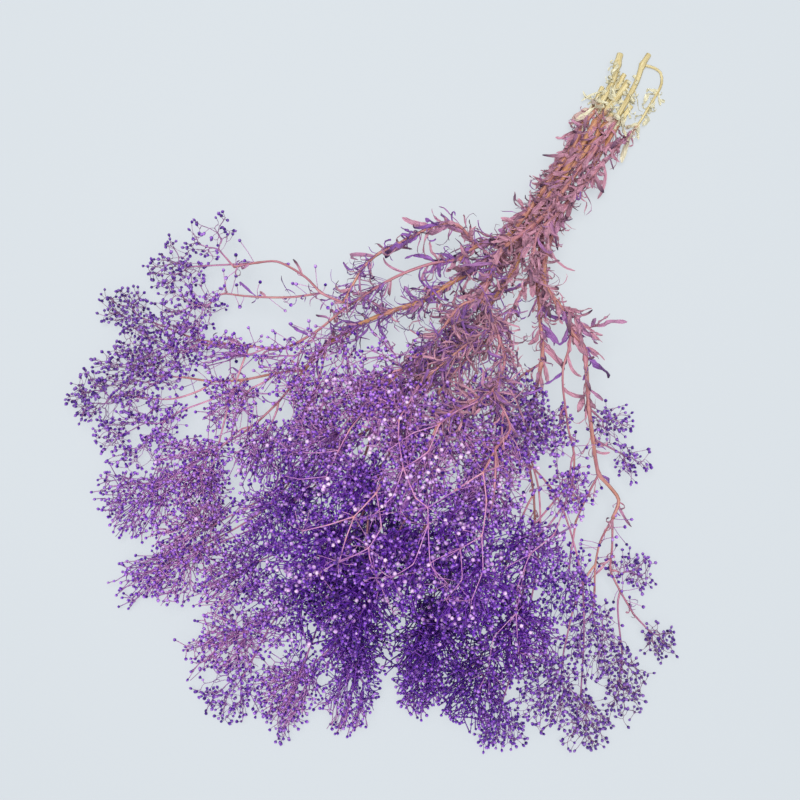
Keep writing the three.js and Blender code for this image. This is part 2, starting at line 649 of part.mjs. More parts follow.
// A tube through places, swollen at its joints, with a flat or a hollow cut end.
function tube(chain) {
  const { sides } = chain;
  const joints = chain.limb.joints || [];
  const stations = [];
  chain.places.forEach((place, i) => {
    const radius = chain.radii[i];
    const before = i > 0 ? unit(minus(place.at, chain.places[i - 1].at)) : null;
    const after = i < chain.places.length - 1 ? unit(minus(chain.places[i + 1].at, place.at)) : null;
    const way = unit(add(before || after, after || before));
    if (joints.includes(i) && before && after) {
      stations.push({ at: add(place.at, before, -SWELLING_REACH), way: before, radius });
      stations.push({ at: place.at, way, radius: radius * SWELLING });
      stations.push({ at: add(place.at, after, SWELLING_REACH), way: after, radius });
    } else {
      stations.push({ at: place.at, way, radius });
    }
  });
  const corners = [];
  const triangles = [];
  stations.forEach(({ at, way, radius }, ring) => {
    const side = unit(Math.abs(way[2]) > 0.95 ? cross(way, [0, 1, 0]) : cross(way, UP));
    const below = cross(way, side);
    for (let k = 0; k < sides; k += 1) {
      const angle = (k / sides) * Math.PI * 2;
      corners.push(add(add(at, side, Math.cos(angle) * radius), below, Math.sin(angle) * radius));
      if (ring > 0) {
        const low = (ring - 1) * sides;
        const next = (k + 1) % sides;
        const high = low + sides;
        triangles.push([low + k, low + next, high + next], [low + k, high + next, high + k]);
      }
    }
  });
  const end = (stations.length - 1) * sides;
  for (let k = 1; k < sides - 1; k += 1) triangles.push([end, end + k, end + k + 1]);
  const { at, way, radius } = stations[0];
  if (chain.limb.hollow) {
    const inner = corners.length;
    for (let k = 0; k < sides; k += 1) corners.push(mix(at, corners[k], HOLLOW.width));
    corners.push(add(at, way, radius * HOLLOW.depth));
    for (let k = 0; k < sides; k += 1) {
      const next = (k + 1) % sides;
      triangles.push([next, k, inner + k], [next, inner + k, inner + next]);
      triangles.push([inner + next, inner + k, inner + sides]);
    }
  } else {
    for (let k = 1; k < sides - 1; k += 1) triangles.push([0, k + 1, k]);
  }
  return solid(corners, triangles);
}

// A narrow leaf, ridged along its middle and curling as it goes, from the heart of a limb.
function leaf(root, way, axis, curl, length, width) {
  const corners = [];
  const triangles = [];
  const steps = LEAF.widths.length;
  let at = root;
  let heading = way;
  const spine = [root];
  for (let step = 0; step < steps; step += 1) {
    const half = (width * LEAF.widths[step]) / 2;
    corners.push(add(at, axis, -half), add(at, axis, half), add(at, cross(axis, heading), LEAF.thickness));
    at = add(at, heading, length / steps);
    heading = turned(heading, axis, curl);
    spine.push(at);
  }
  corners.push(at);
  triangles.push([0, 1, 2]);
  for (let step = 0; step < steps - 1; step += 1) {
    const low = step * 3;
    for (let k = 0; k < 3; k += 1) {
      const next = (k + 1) % 3;
      triangles.push([low + next, low + k, low + 3 + next], [low + k, low + 3 + k, low + 3 + next]);
    }
  }
  const last = (steps - 1) * 3;
  const tip = corners.length - 1;
  for (let k = 0; k < 3; k += 1) triangles.push([last + ((k + 1) % 3), last + k, tip]);
  return { corners, triangles, spine };
}

// Leaves at the places of a limb, on one side and then the other, each turned until it has room.
function leavesOf(chain, owner) {
  const rule = chain.limb.leaves;
  if (!rule) return [];
  const random = seeded(rule.seed);
  const grown = [];
  for (let i = rule.from; i < chain.places.length - 1; i += rule.every) {
    const along = unit(minus(chain.places[i + 1].at, chain.places[i].at));
    const side = unit(cross(along, UP));
    for (let pair = 0; pair < (rule.pairs ? 2 : 1); pair += 1) {
      for (let attempt = 0; attempt < LEAF.tries; attempt += 1) {
        const roll = (pair + i) * Math.PI + (random() - 0.5) * (LEAF.roll + attempt * LEAF.moreRoll);
        const outward = turned(side, along, roll);
        const way = unit(add(along, outward, between(random, LEAF.lean)));
        const axis = unit(cross(way, turned(outward, along, between(random, LEAF.twist))));
        const length = rule.length * between(random, LEAF.length);
        const width = between(random, LEAF.width);
        const curl = (random() < 0.5 ? -1 : 1) * between(random, LEAF.curl);
        const start = mix(chain.places[i].at, chain.places[i + 1].at, between(random, LEAF.root));
        const shape = leaf(start, way, axis, curl, length, width);
        const reach = width / 2 + LEAF.air;
        const near = stretches.filter((other) => other.owner === owner && !other.blade);
        const room = shape.spine.every((place, k) => place[2] > LEAF.thickness * 2
          && (k === 0 || isClear(shape.spine[k - 1], place, reach, owner, near)));
        if (!room) continue;
        shape.spine.slice(1).forEach((place, k) => {
          lay(shape.spine[k], place, reach, owner).blade = true;
        });
        grown.push(solid(shape.corners, shape.triangles));
        break;
      }
    }
  }
  return grown;
}

// Bud places spread evenly through a spray's space, out to its furthest tips.
function budPlaces(spray, heading, random) {
  const across = unit(cross(heading, UP));
  const above = cross(across, heading);
  const middle = placed(spray.middle);
  const chosen = [];
  while (chosen.length < spray.buds) {
    let best = null;
    let bestRoom = -1;
    for (let attempt = 0; attempt < PLACE_TRIES; attempt += 1) {
      const [u, v, w] = [random() * 2 - 1, random() * 2 - 1, random() * 2 - 1];
      if (u * u + v * v + w * w > 1) continue;
      const fan = 1 - Math.max(0, -u) * TAPER;
      let place = add(middle, heading, u * spray.reach[0]);
      place = add(add(place, across, v * fan * spray.reach[1]), above, w * spray.reach[2]);
      place[2] = Math.max(place[2], BUD_RADIUS * BUD_FLOOR);
      const room = Math.min(...chosen.map((other) => size(minus(place, other))), spray.reach[0] * 2);
      if (room > bestRoom) [best, bestRoom] = [place, room];
    }
    if (best) chosen.push(best);
  }
  return chosen;
}

// The long axis of a set of places, square to the way of growth.
function widestAcross(places, centre, way) {
  let axis = unit(cross(way, Math.abs(way[2]) > 0.9 ? [1, 0, 0] : UP));
  for (let pass = 0; pass < 12; pass += 1) {
    let sum = [0, 0, 0];
    places.forEach((place) => {
      const offset = minus(place, centre);
      sum = add(sum, offset, dot(offset, axis));
    });
    sum = add(sum, way, -dot(sum, way));
    if (size(sum) > TINY) axis = unit(sum);
  }
  return axis;
}

// A direction kept within a cone round another.
function tilted(way, round, least, most) {
  const angle = Math.acos(Math.min(1, Math.max(-1, dot(way, round))));
  const aside = unit(add(way, round, -dot(way, round)));
  const kept = Math.min(most, Math.max(least, angle));
  return unit(add(times(round, Math.cos(kept)), aside, Math.sin(kept)));
}

// One bud on its thread from a fork, turned aside until it has room.
function growBud(from, way, target, owner, joined, random) {
  for (let attempt = 0; attempt < BUD_TRIES; attempt += 1) {
    const aim = add(target, anyWay(random), attempt * BUD_WANDER);
    aim[2] = Math.max(aim[2], BUD_RADIUS * BUD_FLOOR);
    const reach = Math.max(SHORTEST_THREAD, size(minus(aim, from)));
    const heading = tilted(unit(minus(aim, from)), way, ...TILT);
    const neck = add(from, heading, reach);
    const tip = add(neck, heading, BUD_LENGTH);
    if (Math.min(neck[2], tip[2]) < BUD_RADIUS) continue;
    const start = add(from, heading, THREAD_RADIUS * THREAD_CLEAR);
    if (!isClear(start, neck, THREAD_RADIUS, owner, joined)) continue;
    if (!isClear(neck, tip, BUD_RADIUS, owner, joined)) continue;
    const laid = [lay(start, neck, THREAD_RADIUS, owner), lay(neck, tip, BUD_RADIUS, owner)];
    return { at: neck, way: heading, buds: true, children: [], laid };
  }
  return null;
}

// A fork bears one bud on a short thread of its own, and two arms that share the others.
function growFork(from, way, targets, owner, joined, depth, random) {
  const radius = Math.max(THREAD_RADIUS, SPRAY_ROOT_RADIUS - depth * THINNING);
  const centre = targets.reduce((sum, place) => add(sum, place, 1 / targets.length), [0, 0, 0]);
  const rule = depth === 0 ? FIRST_FORK : LATER_FORK;
  for (let attempt = 0; attempt < rule.tries; attempt += 1) {
    const share = rule.share + (random() - 0.5) * FORK_WANDER.share;
    const aim = add(mix(from, centre, share), anyWay(random), attempt * FORK_WANDER.aside);
    const straight = unit(minus(aim, from));
    const heading = depth === 0 ? straight : tilted(straight, way, ...TILT);
    const at = add(from, heading, Math.max(SHORTEST_THREAD, size(minus(aim, from))));
    if (at[2] < radius * THREAD_CLEAR) continue;
    const start = add(from, heading, radius * THREAD_CLEAR);
    if (!isClear(start, at, radius, owner, joined)) continue;
    const own = lay(start, at, radius, owner);
    const fork = { at, way: heading, radius, children: [], laid: [own] };
    const axis = widestAcross(targets, centre, heading);
    const order = [...targets].sort((a, b) => dot(minus(a, centre), axis) - dot(minus(b, centre), axis));
    const middle = Math.floor(order.length / 2);
    const crown = order.length >= 3 ? order.splice(middle, 1)[0] : null;
    const cut = Math.ceil(order.length / 2);
    const third = cross(heading, axis);
    const sides = [order.slice(0, cut), order.slice(cut)];
    const siblings = [own];
    sides.forEach((places) => {
      const child = places.length === 1
        ? growBud(at, heading, places[0], owner, siblings, random)
        : growFork(at, heading, places, owner, siblings, depth + 1, random);
      if (child) siblings.push(child.laid[0]);
      fork.children.push(child);
    });
    const crownAim = add(at, unit(add(heading, third, -0.45)), between(random, CROWN_THREAD));
    fork.children.push(crown ? growBud(at, heading, crownAim, owner, siblings, random) : null);
    fork.third = third;
    return fork;
  }
  return null;
}

// The whole spray as one closed skin: each fork ends in a three-sided point, and each of its faces
// opens into an arm or stays shut.
function skin(arm, fork) {
  const corners = [];
  const triangles = [];
  const buds = [];
  const ring = (at, way, radius, first) => {
    const base = corners.length;
    corners.push(...ringRound(at, way, radius, first));
    return [base, base + 1, base + 2];
  };
  // The faces of a fork's ring, each given to the thread that it looks towards.
  const facing = (made, one) => {
    const faces = made.map((corner, k) => [corner, made[(k + 1) % 3]]);
    const outward = faces.map(([a, b]) => unit(minus(mix(corners[a], corners[b], 0.5), one.at)));
    const orders = [[0, 1, 2], [0, 2, 1], [1, 0, 2], [1, 2, 0], [2, 0, 1], [2, 1, 0]];
    const score = (order) => order.reduce((sum, face, which) => {
      const child = one.children[which];
      return child ? sum + dot(outward[face], child.way) : sum;
    }, 0);
    const best = orders.reduce((top, order) => (score(order) > score(top) ? order : top));
    return best.map((face) => faces[face]);
  };
  // The turn of the new ring that twists the arm least.
  const matched = (mouth, at, way, radius, first) => {
    const made = ring(at, way, radius, first);
    const twist = (shift) => mouth.reduce((sum, corner, k) => {
      const spoke = unit(minus(corners[made[(k + shift) % 3]], at));
      const centre = mix(mix(corners[mouth[0]], corners[mouth[1]], 0.5), corners[mouth[2]], 1 / 3);
      return sum + dot(spoke, unit(minus(corners[corner], centre)));
    }, 0);
    const best = [0, 1, 2].reduce((top, shift) => (twist(shift) > twist(top) ? shift : top), 0);
    return made.map((corner, k) => made[(k + best) % 3]);
  };
  const wall = (mouth, made) => {
    for (let k = 0; k < 3; k += 1) {
      const next = (k + 1) % 3;
      triangles.push([mouth[k], mouth[next], made[next]], [mouth[k], made[next], made[k]]);
    }
  };
  const closeBud = (mouth, at, way) => {
    const centre = mix(mix(corners[mouth[0]], corners[mouth[1]], 0.5), corners[mouth[2]], 1 / 3);
    const neck = matched(mouth, at, way, NECK_RADIUS, minus(corners[mouth[0]], centre));
    wall(mouth, neck);
    const aside = minus(mix(corners[neck[0]], corners[neck[1]], 0.5), at);
    const belly = ring(add(at, way, BUD_LENGTH * BUD_BELLY), way, BUD_RADIUS, aside);
    corners.push(add(at, way, BUD_LENGTH));
    const tip = corners.length - 1;
    for (let k = 0; k < 3; k += 1) {
      const next = (k + 1) % 3;
      triangles.push([neck[k], neck[next], belly[k]], [neck[next], belly[next], belly[k]]);
      triangles.push([belly[k], belly[next], tip]);
    }
    buds.push([...neck, ...belly, tip]);
  };
  const openFork = (mouth, one) => {
    const made = matched(mouth, one.at, one.way, one.radius, one.third);
    wall(mouth, made);
    corners.push(add(one.at, one.way, one.radius * POINT_RISE));
    const point = corners.length - 1;
    facing(made, one).forEach(([a, b], which) => {
      const child = one.children[which];
      const opening = [a, b, point];
      if (!child) triangles.push(opening);
      else if (child.buds) closeBud(opening, child.at, child.way);
      else openFork(opening, child);
    });
  };

  const base = ring(arm[0].at, arm[0].way, arm[0].radius, arm[0].spoke);
  triangles.push([base[0], base[2], base[1]]);
  const top = arm.slice(1).reduce((mouth, one) => {
    const made = matched(mouth, one.at, one.way, one.radius, minus(corners[mouth[0]], arm[0].at));
    wall(mouth, made);
    return made;
  }, base);
  openFork(top, fork);
  return { corners, triangles, buds };
}

// A bud is raised off the table it would sink into; a resting spray's lowest bud is set down on it.
function settle({ corners, buds }, rests) {
  const low = (bud) => Math.min(...bud.map((corner) => corners[corner][2]));
  const raise = (bud, amount) => bud.forEach((corner) => {
    corners[corner] = add(corners[corner], UP, amount);
  });
  buds.filter((bud) => low(bud) < 0).forEach((bud) => raise(bud, -low(bud)));
  if (!rests) return;
  const lowest = buds.reduce((best, bud) => (low(bud) < low(best) ? bud : best));
  raise(lowest, -low(lowest));
}

// Whether the straight edge from a to b passes through a triangle.
function pierces(a, b, [p, q, r]) {
  const first = minus(q, p);
  const second = minus(r, p);
  const way = minus(b, a);
  const normal = cross(way, second);
  const slope = dot(first, normal);
  if (Math.abs(slope) < TINY) return false;
  const offset = minus(a, p);
  const u = dot(offset, normal) / slope;
  const side = cross(offset, first);
  const v = dot(way, side) / slope;
  const t = dot(second, side) / slope;
  return u >= 0 && v >= 0 && u + v <= 1 && t >= 0 && t <= 1;
}

// Whether any part of a skin passes through another part of it.
function crossesItself({ corners, triangles }) {
  const faces = triangles.map((triangle) => {
    const places = triangle.map((corner) => corners[corner]);
    const low = [0, 1, 2].map((axis) => Math.min(...places.map((place) => place[axis])));
    const high = [0, 1, 2].map((axis) => Math.max(...places.map((place) => place[axis])));
    return { triangle, places, low, high };
  });
  const cuts = (one, two) => [0, 1, 2].some((k) => {
    const next = (k + 1) % 3;
    const shared = [one.triangle[k], one.triangle[next]].some((corner) => two.triangle.includes(corner));
    return !shared && pierces(one.places[k], one.places[next], two.places);
  });
  return faces.some((one, i) => faces.slice(i + 1).some((two) => {
    const apart = [0, 1, 2].some((axis) => one.low[axis] > two.high[axis] || two.low[axis] > one.high[axis]);
    if (apart) return false;
    if (one.triangle.filter((corner) => two.triangle.includes(corner)).length > 1) return false;
    return cuts(one, two) || cuts(two, one);
  }));
}

// Threads that lost a bud for want of room close up, and a fork left with none becomes a bud.
function trimmed(one) {
  if (!one || one.buds) return one;
  one.children = one.children.map(trimmed);
  if (one.children.some((child) => child)) return one;
  return { at: one.at, way: one.way, buds: true, children: [], laid: one.laid };
}

function mesh(name, colour, roughness, corners, triangles) {
  const geometry = new THREE.BufferGeometry();
  const flat = triangles.flatMap((triangle) => triangle.flatMap((corner) => corners[corner]));
  geometry.setAttribute("position", new THREE.Float32BufferAttribute(flat, 3));
  geometry.computeVertexNormals();
  const part = new THREE.Mesh(geometry, new THREE.MeshStandardMaterial({ color: colour, roughness }));
  part.name = name;
  return part;
}

// What the joined solid's skin is made of.
function skinOf(joined) {
  const { vertProperties, triVerts, numProp } = joined.getMesh();
  const corners = [];
  for (let i = 0; i < vertProperties.length; i += numProp) {
    corners.push([vertProperties[i], vertProperties[i + 1], vertProperties[i + 2]]);
  }
  const triangles = [];
  for (let i = 0; i < triVerts.length; i += 3) triangles.push([...triVerts.slice(i, i + 3)]);
  return { corners, triangles };
}

const group = new THREE.Group();
group.name = "dried_broom_bloom";

const stems = STEMS.map(chainsOf);
const arms = SPRAYS.map((spray) => armOf(stems[spray.stem - 1], spray));
bendClear([...stems, ...arms.map((arm) => [arm])]);

const stemFaces = stems.map((chains, owner) => {
  const pieces = chains.map(tube);
  chains.forEach((chain) => pieces.push(...leavesOf(chain, owner)));
  const joined = wasm.Manifold.union(pieces);
  const { corners, triangles } = skinOf(joined);
  group.add(mesh(STEMS[owner].name, STEMS[owner].colour, STEM_ROUGHNESS, corners, triangles));
  return triangles.map((triangle) => triangle.map((corner) => corners[corner]));
});

// A spray is grown several times over, and the fullest growth that stays clear of itself is kept.
function grownSpray(spray, order) {
  const owner = stems.length + order;
  const rings = armRings(arms[order], stemFaces[spray.stem - 1]);
  const end = rings[rings.length - 1];
  const heading = unit(minus(placed(spray.middle), end.at));
  const joined = stretches.filter((other) => other.owner === owner).slice(-1);
  const before = stretches.length;
  let best = null;
  for (let attempt = 0; attempt < GROWTHS; attempt += 1) {
    const random = seeded(SPRAY_SEED + order + attempt * SPRAYS.length);
    const targets = budPlaces(spray, heading, random);
    const fork = trimmed(growFork(end.at, end.way, targets, owner, joined, 0, random));
    const laid = stretches.splice(before);
    if (!fork) continue;
    const made = skin(rings, fork);
    settle(made, spray.rests);
    const fuller = !best || made.buds.length > best.made.buds.length;
    if (fuller && !crossesItself(made)) best = { made, laid };
    if (best && best.made.buds.length === spray.buds) break;
  }
  stretches.push(...best.laid);
  return best.made;
}

SPRAYS.forEach((spray, order) => {
  const { corners, triangles } = grownSpray(spray, order);
  const name = `spray_${String(order + 1).padStart(2, "0")}`;
  group.add(mesh(name, VIOLET, SPRAY_ROUGHNESS, corners, triangles));
});

export default group;
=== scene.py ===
"""Dried broom bloom: seven cut, dyed flowering stems lying together on a table.

Stalks, limbs and the arms of the sprays are bent clear of each other by the rule that the part's
solids follow, so each fine piece lies where its solid does. Lengths are millimetres until a mesh
is made, +Z is up, and +Y runs along the stalks towards their cut ends.
"""

import logging
import math
from collections.abc import Callable, Sequence
from dataclasses import dataclass, field
from enum import Enum

import bpy
import numpy as np
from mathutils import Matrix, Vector


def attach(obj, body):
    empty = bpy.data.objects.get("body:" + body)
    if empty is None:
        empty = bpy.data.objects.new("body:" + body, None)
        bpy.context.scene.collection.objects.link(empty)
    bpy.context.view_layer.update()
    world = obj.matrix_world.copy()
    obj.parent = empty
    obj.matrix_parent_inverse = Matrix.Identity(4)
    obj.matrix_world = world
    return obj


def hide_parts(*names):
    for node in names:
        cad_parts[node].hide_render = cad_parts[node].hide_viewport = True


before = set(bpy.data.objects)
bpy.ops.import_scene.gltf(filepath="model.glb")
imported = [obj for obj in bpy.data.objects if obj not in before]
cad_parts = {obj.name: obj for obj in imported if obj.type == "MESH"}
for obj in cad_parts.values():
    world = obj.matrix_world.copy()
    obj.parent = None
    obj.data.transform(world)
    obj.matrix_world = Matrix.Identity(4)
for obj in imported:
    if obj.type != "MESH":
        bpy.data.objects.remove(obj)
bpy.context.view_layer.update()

LOG = logging.getLogger("broom_bloom")

MM = 0.001  # metres in a millimetre
BODY = "root"
MAP_NAME = "OFBake"  # each piece's own layout of its surface
TINY = 1e-9
WORD = 0xFFFFFFFF
Array = np.ndarray
Faces = tuple[Array, Array, Array]  # corner numbers, layout in the cell, cell
Socket = bpy.types.NodeSocket
Pair = tuple[float, float]  # often the least and the most
Triple = tuple[float, float, float]
Point = Triple  # a place or a way
Tones = tuple[str, str]  # the dark and the light of a colour, as hex figures
Generator = np.random.Generator
UP: Point = (0.0, 0.0, 1.0)


class Slot(Enum):
    """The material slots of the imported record."""

    TAN = "tan_stem"
    MAUVE = "mauve_stem"
    SPRAY = "violet_spray"


@dataclass(frozen=True)
class Sight:
    """Where the eye is: positions across the table are given as they are seen from there."""

    x: float = -20
    y: float = -21
    height: float = 750
    turn: float = math.atan2(0.527, 0.85)  # of the view, about the upright axis
    width: float = 500  # of the table in view

    def sighted(self, place: Sequence[float]) -> Pair:
        """Where a place is seen from above, on the table."""
        pull = 1 - place[2] / self.height
        return (self.x + (place[0] - self.x) / pull, self.y + (place[1] - self.y) / pull)

    def placed(self, spot: Sequence[float]) -> Point:
        """A place given as sighted, put at its true place for its height."""
        pull = 1 - spot[2] / self.height
        return (self.x + (spot[0] - self.x) * pull, self.y + (spot[1] - self.y) * pull, spot[2])


@dataclass(frozen=True)
class LeafRule:
    """Where the leaves of a limb sit, and how long they are."""

    first: int
    every: int
    length: float
    seed: int
    pairs: bool = False


@dataclass(frozen=True)
class LimbPlan:
    """A limb as a row of places (x, y, height) as sighted, thick end first."""

    radii: Pair
    path: tuple[Point, ...]
    joints: tuple[int, ...] = ()
    leaves: LeafRule | None = None
    hollow: bool = False
    level: int = -1  # the last place that lies flat on the table


@dataclass(frozen=True)
class StemPlan:
    """A stem: its stalk, then the limbs that grow from the nearest place of those before them."""

    name: str
    limbs: tuple[LimbPlan, ...]
    slot: Slot = Slot.TAN


@dataclass(frozen=True)
class SprayPlan:
    """A spray: its stem, the place it starts from, its middle, its reach ahead, across and up."""

    stem: int
    start: Pair
    middle: Point
    reach: Triple
    buds: int


@dataclass(frozen=True)
class Window:
    """A gap in the bloom through which the table is seen from above."""

    middle: Pair
    half: Pair
    turn: float  # of its longer way, in degrees

    def holds(self, x: float, y: float) -> bool:
        """Whether a place as sighted lies in the gap."""
        angle = math.radians(self.turn)
        dx, dy = x - self.middle[0], y - self.middle[1]
        along = (dx * math.cos(angle) + dy * math.sin(angle)) / self.half[0]
        across = (dy * math.cos(angle) - dx * math.sin(angle)) / self.half[1]
        return along**2 + across**2 < 1


@dataclass(frozen=True)
class TwigPlan:
    """A thin twig that lies over the bloom, as a row of places (x, y, height) as sighted."""

    radii: Pair
    path: tuple[Point, ...]
    stem: int = 0  # the stem whose nearest spot it springs from, or 0 where it forks off a twig


@dataclass(frozen=True)
class BendRule:
    """How limbs settle on each other and are bent clear, as the part's solids are."""

    air: float = 0.4
    touch: float = 0.01
    bundle: Pair = (95, 130)
    settling_rounds: int = 160
    sink: float = 0.09
    stiffness: float = 0.2
    rounds: int = 600
    push: float = 0.55
    floor: float = 1.05
    swelling: float = 1.38
    watch: float = 16  # stretches that start further apart than this never meet


@dataclass(frozen=True)
class ArmRule:
    """The arm that carries a spray."""

    root_radius: float = 1
    tip_radius: float = 0.72
    lift: float = 0.1
    bend: float = 0.3
    step: float = 32
    crook: float = 6
    tilt: Pair = (0.68, 1.3)
    short: float = 0.6
    reach: float = 0.85


@dataclass(frozen=True)
class BladeRule:
    """The part's leaves, whose places and curls the fine leaves keep."""

    thickness: float = 0.75
    widths: int = 4
    width: Pair = (1.9, 3.2)
    length: Pair = (0.7, 1.3)
    lean: Pair = (0.5, 1.4)
    twist: Pair = (1.2, 1.9)
    curl: Pair = (0.35, 0.95)
    root: Pair = (0.06, 0.26)
    roll: float = 1.4
    more_roll: float = 0.25
    air: float = 0.2
    tries: int = 20
    own_air: float = 0.16


SIGHT = Sight()
BEND = BendRule()
ARM = ArmRule()
BLADE = BladeRule()
STALK_SIDES = 6

